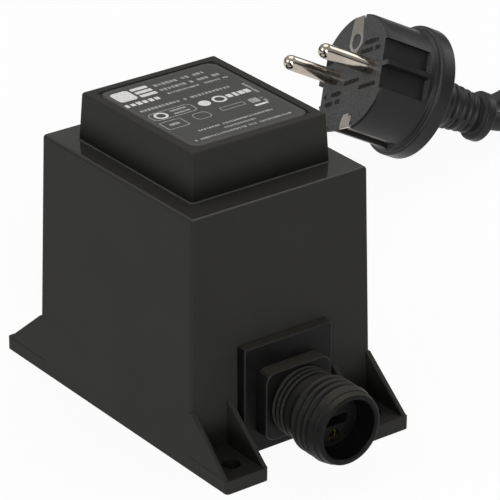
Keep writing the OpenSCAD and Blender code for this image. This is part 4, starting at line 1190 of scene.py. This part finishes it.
def plug_body():
    smooth_end = GRIP_END + TAIL_SMOOTH
    collar_start = PLUG_END - COLLAR_LENGTH
    pitch = (collar_start - smooth_end) / TAIL_SLOTS
    thinner = (TAIL_TIP_R - TAIL_NECK_R) / (collar_start - smooth_end)
    ribs = []
    for number in range(TAIL_SLOTS):
        for share, swell in ((0, RIB_SWELL), (0.35, 0), (0.65, 0)):
            x = -smooth_end - (number + share) * pitch
            ribs.append((x, TAIL_NECK_R + thinner * (-x - smooth_end) + swell))
    profile = filleted([
        (0, 0), (0, PLUG_D / 2), (-PLUG_LENGTH + SHOULDER_LENGTH, PLUG_D / 2),
        (-PLUG_LENGTH + SHOULDER_LENGTH * 0.6, SHOULDER_R), (-PLUG_LENGTH, SHOULDER_R),
        (-PLUG_LENGTH, GRIP_D / 2), (-GRIP_END, GRIP_D / 2),
        (-GRIP_END, TAIL_ROOT_R + 1.5 * MM), (-GRIP_END - 1.2 * MM, TAIL_ROOT_R),
        *ribs, (-collar_start, TAIL_TIP_R), (-collar_start, COLLAR_D / 2),
        (-PLUG_END, COLLAR_D / 2), (-PLUG_END, 0),
    ], PLUG_EDGE)
    body = tidy_mesh(turned("plug_moulding", profile, PLUG_SIDES))
    cutters = []
    for side in (1, -1):
        for half in (1, -1):
            cutters.append(box_between(
                "guide", (-GUIDE_LENGTH, side * (PLUG_D / 2 - GUIDE_DEPTH), half * GUIDE_RIB / 2),
                (OVERLAP, side * PLUG_D, half * GUIDE_WIDTH),
            ))
        for end, width, depth in ((-PLUG_LENGTH + 0.8 * MM, CHANNEL_WIDTH, CHANNEL_DEPTH),
                                  (-CLIP_THICKNESS, CLIP_WIDTH, CLIP_REACH)):
            cutters.append(box_between(
                "channel", (end, -width / 2, side * (PLUG_D / 2 - depth)),
                (OVERLAP, width / 2, side * PLUG_D),
            ))
    for number in range(TAIL_SLOTS):
        x = -smooth_end - (number + 0.5) * pitch
        for side in (1, -1):
            cut = box_between(
                "slot", (x - SLOT_WIDTH / 2, side * (TAIL_TIP_R - SLOT_DEPTH / 2), -TAIL_NECK_R),
                (x + SLOT_WIDTH / 2, side * COLLAR_D, TAIL_NECK_R),
            )
            cutters.append(placed(cut, turn_about("X", number % 2 * math.pi / 2)))
    combined(body, [tidy_mesh(cutter) for cutter in cutters])
    flat_faced(tidy_mesh(bevelled(finished(tidy_mesh(body), 0), 0.25 * MM)))
    placed(body, PLUG_FRAME)
    return shown(body, [PLUG, EDGE_RUB_AND_HIGHLIGHT], "plug_plastic", "plug_body")


plug = plug_body()


# Earth strips on the plug's face: one with the hole for an earth pin, one short

STRIP_THICKNESS = 0.35 * MM
EARTH_PLACE = PLUG_FRAME.inverted() @ Vector(mounts["plug_earth"]["pos_m"])
EARTH_OFFSET = EARTH_PLACE.yz.length
EARTH_HOLE_R = 2.5 * MM


def earth_strips():
    rim = PLUG_D / 2 - PLUG_EDGE
    half = CLIP_WIDTH / 2
    inner = EARTH_OFFSET - EARTH_HOLE_R - 2 * MM
    wide = EARTH_HOLE_R + 0.9 * MM
    # Half of each strip's outline, from the rim inwards
    halves = [
        [(half, rim), (wide, EARTH_OFFSET + 1 * MM), (wide, EARTH_OFFSET - 1 * MM), (0.8 * MM, inner)],
        [(half, rim), (half, rim - 0.4 * CLIP_REACH), (half / 2, rim - CLIP_REACH)],
    ]
    strips = []
    side = 1 if EARTH_PLACE.z > 0 else -1
    for number, right in enumerate(halves):
        outline = [right[0], *((-y, z) for y, z in right), *right[:0:-1]]
        strip = tidy_mesh(along_x("strip", [(-STRIP_THICKNESS / 2, outline), (STRIP_THICKNESS, outline)]))
        if number == 0:
            ends = [(-OVERLAP, 0), (-OVERLAP, EARTH_HOLE_R), (OVERLAP, EARTH_HOLE_R), (OVERLAP, 0)]
            hole = tidy_mesh(placed(turned("hole", ends, 48), shift(z=EARTH_OFFSET)))
            combined(strip, [hole])
        turn = 0 if (side > 0) == (number == 0) else math.pi
        strips.append(placed(strip, turn_about("X", turn)))
    piece = joined("earth_strips", strips)
    flat_faced(tidy_mesh(bevelled(tidy_mesh(piece), 0.08 * MM)))
    return shown(placed(piece, PLUG_FRAME), [STRIP], "plug_nickel")


strips = earth_strips()


# Small raised marks on the plug's face, with no lettering

MARK_DEPTH = 0.16 * MM
MARK_HEIGHT = 1.5
MARK_PITCH = 1.3
# Rows of marks, in mm: height on the face, start and end across it
MARK_ROWS = [(8.6, 5.0, 13.4), (5.9, 3.6, 15.0), (-3.0, -4.6, 5.0), (-5.6, -13.6, -4.4),
             (-8.4, -12.4, -4.2), (5.8, -14.8, -5.2), (-5.8, 5.0, 14.6)]


def face_marks():
    upright = turn_about("Y")
    rows = []
    for seed, (height, start, end) in enumerate(MARK_ROWS, FACE_SEED):
        row = bar_row(seed, start, end, MARK_HEIGHT, MARK_PITCH, MARK_DEPTH)
        rows.append(placed(row, PLUG_FRAME @ shift(x=MARK_DEPTH / 2, z=height * MM) @ upright))
    piece = tidy_mesh(joined("plug_face_marks", rows))
    return shown(piece, [RELIEF], "plug_plastic")


marks = face_marks()


# Tie round the coil: a strap with its end folded over the top

TIE_WIDTH = 9 * MM
TIE_ANGLE = 20 * DEGREE
TIE_CORNER_R = 2.5 * MM


def coil_tie():
    spread = COIL_PITCH * COIL_TURNS / 4 + CORD_D / 2 + TIE_GAP
    tall = COIL_PITCH + CORD_D + 2 * TIE_GAP
    centre_line = rounded_outline(2 * spread + TIE_THICKNESS, tall + TIE_THICKNESS, TIE_CORNER_R, 8)
    section = rounded_outline(TIE_THICKNESS, TIE_WIDTH, 0.3 * MM, 3)
    strap = placed(swept_ring("coil_strap", centre_line, section), turn_about("X"))
    end = slab("strap_end", TIE_WIDTH, spread, TIE_THICKNESS, 0.6 * MM, 0.2 * MM)
    placed(end, turn_about("Y", -math.pi / 2))
    placed(end, shift(spread / 6, 0, tall / 2 + TIE_THICKNESS - 0.05 * MM))
    combined(strap, [tidy_mesh(end)], "UNION")
    tidy_mesh(strap)
    out = shift(COIL_MID_R, 0, tall / 2 + TIE_THICKNESS)
    placed(strap, shift(COIL_CENTRE.x, COIL_CENTRE.y) @ turn_about("Z", TIE_ANGLE) @ out)
    return shown(strap, [TIE], "tie_rubber", "coil_tie")


tie = coil_tie()
shown(mains_lead, [SHEATH], "sheath_rubber", "mains_cord", "cord_coil", "cord_tail")


# Floor, light and background

FLOOR_HALF = 3.0
# Colour of the floor for the light that it throws back, and for the camera and mirrors
FLOOR_BOUNCE = (0.5, 0.5, 0.5, 1)
FLOOR_SEEN = (0.86, 0.86, 0.85, 1)
WHITE = (1, 1, 1, 1)
LAMP_AIM = Vector((0, 0, 0.04))


def stage_floor():
    corners = [(-1, -1), (1, -1), (1, 1), (-1, 1)]
    points = [(x * FLOOR_HALF, y * FLOOR_HALF, -0.1 * MM) for x, y in corners]
    floor = mesh_piece("floor", points, [(0, 1, 2, 3)])
    material = bpy.data.materials.new("floor_white")
    tree = cleared_tree(material)
    seen = any_ray(tree, "Camera", "Glossy", "Transmission")
    matte = output_of(tree, "ShaderNodeBsdfDiffuse", Color=seen.mix(FLOOR_BOUNCE, FLOOR_SEEN))
    glow = output_of(tree, "ShaderNodeEmission", Color=WHITE, Strength=1.0)
    off_x, off_y = off_screws(axes(object_place(tree)))
    hole_r = mounts["foot_screws"]["dims"]["hole_r_mm"] * MM
    clear = (off_x * off_x + off_y * off_y).root().ramp(hole_r * 1.1, hole_r * 1.5)
    end_tree(tree, "ShaderNodeOutputMaterial", seen * clear * 0.94, matte, glow)
    floor.data.materials.append(material)


def softbox(name, place, size, power, colour=(1, 1, 1)):
    data = bpy.data.lights.new(name, "AREA")
    data.shape = "RECTANGLE"
    data.size, data.size_y = size
    data.energy = power
    data.color = colour
    lamp = new_object(name, data)
    lamp.location = place
    lamp.rotation_euler = (LAMP_AIM - Vector(place)).to_track_quat("-Z", "Y").to_euler()


def background():
    """White for the camera, and for mirrors paler above than below."""
    world = bpy.data.worlds.new("studio")
    bpy.context.scene.world = world
    tree = cleared_tree(world)
    up = axes(add_node(tree, "ShaderNodeTexCoord").outputs["Generated"])[2]
    mirrored = up.ramp(0.05, 0.5, -0.3, 0.25) * any_ray(tree, "Glossy")
    sky = output_of(tree, "ShaderNodeBackground", Color=(0.85, 0.86, 0.88, 1), Strength=mirrored + 0.35)
    white = output_of(tree, "ShaderNodeBackground", Color=WHITE, Strength=1.0)
    end_tree(tree, "ShaderNodeOutputWorld", any_ray(tree, "Camera", "Transmission"), sky, white)


stage_floor()
softbox("key_left", (-0.5, -1.6, 1.1), (1.2, 1.2), 9.8)
softbox("fill_right", (1.5, -0.85, 0.9), (1.0, 1.0), 16.5)
softbox("top_back", (-0.6, 0.5, 1.7), (1.4, 1.4), 12, (1.0, 0.96, 0.9))
softbox("low_right", (1.4, -0.6, 0.15), (1.2, 0.24), 3.2)
softbox("far_side", (0.1, 1.9, 0.9), (1.2, 0.8), 6)
background()
bpy.context.scene.view_settings.view_transform = "Standard"
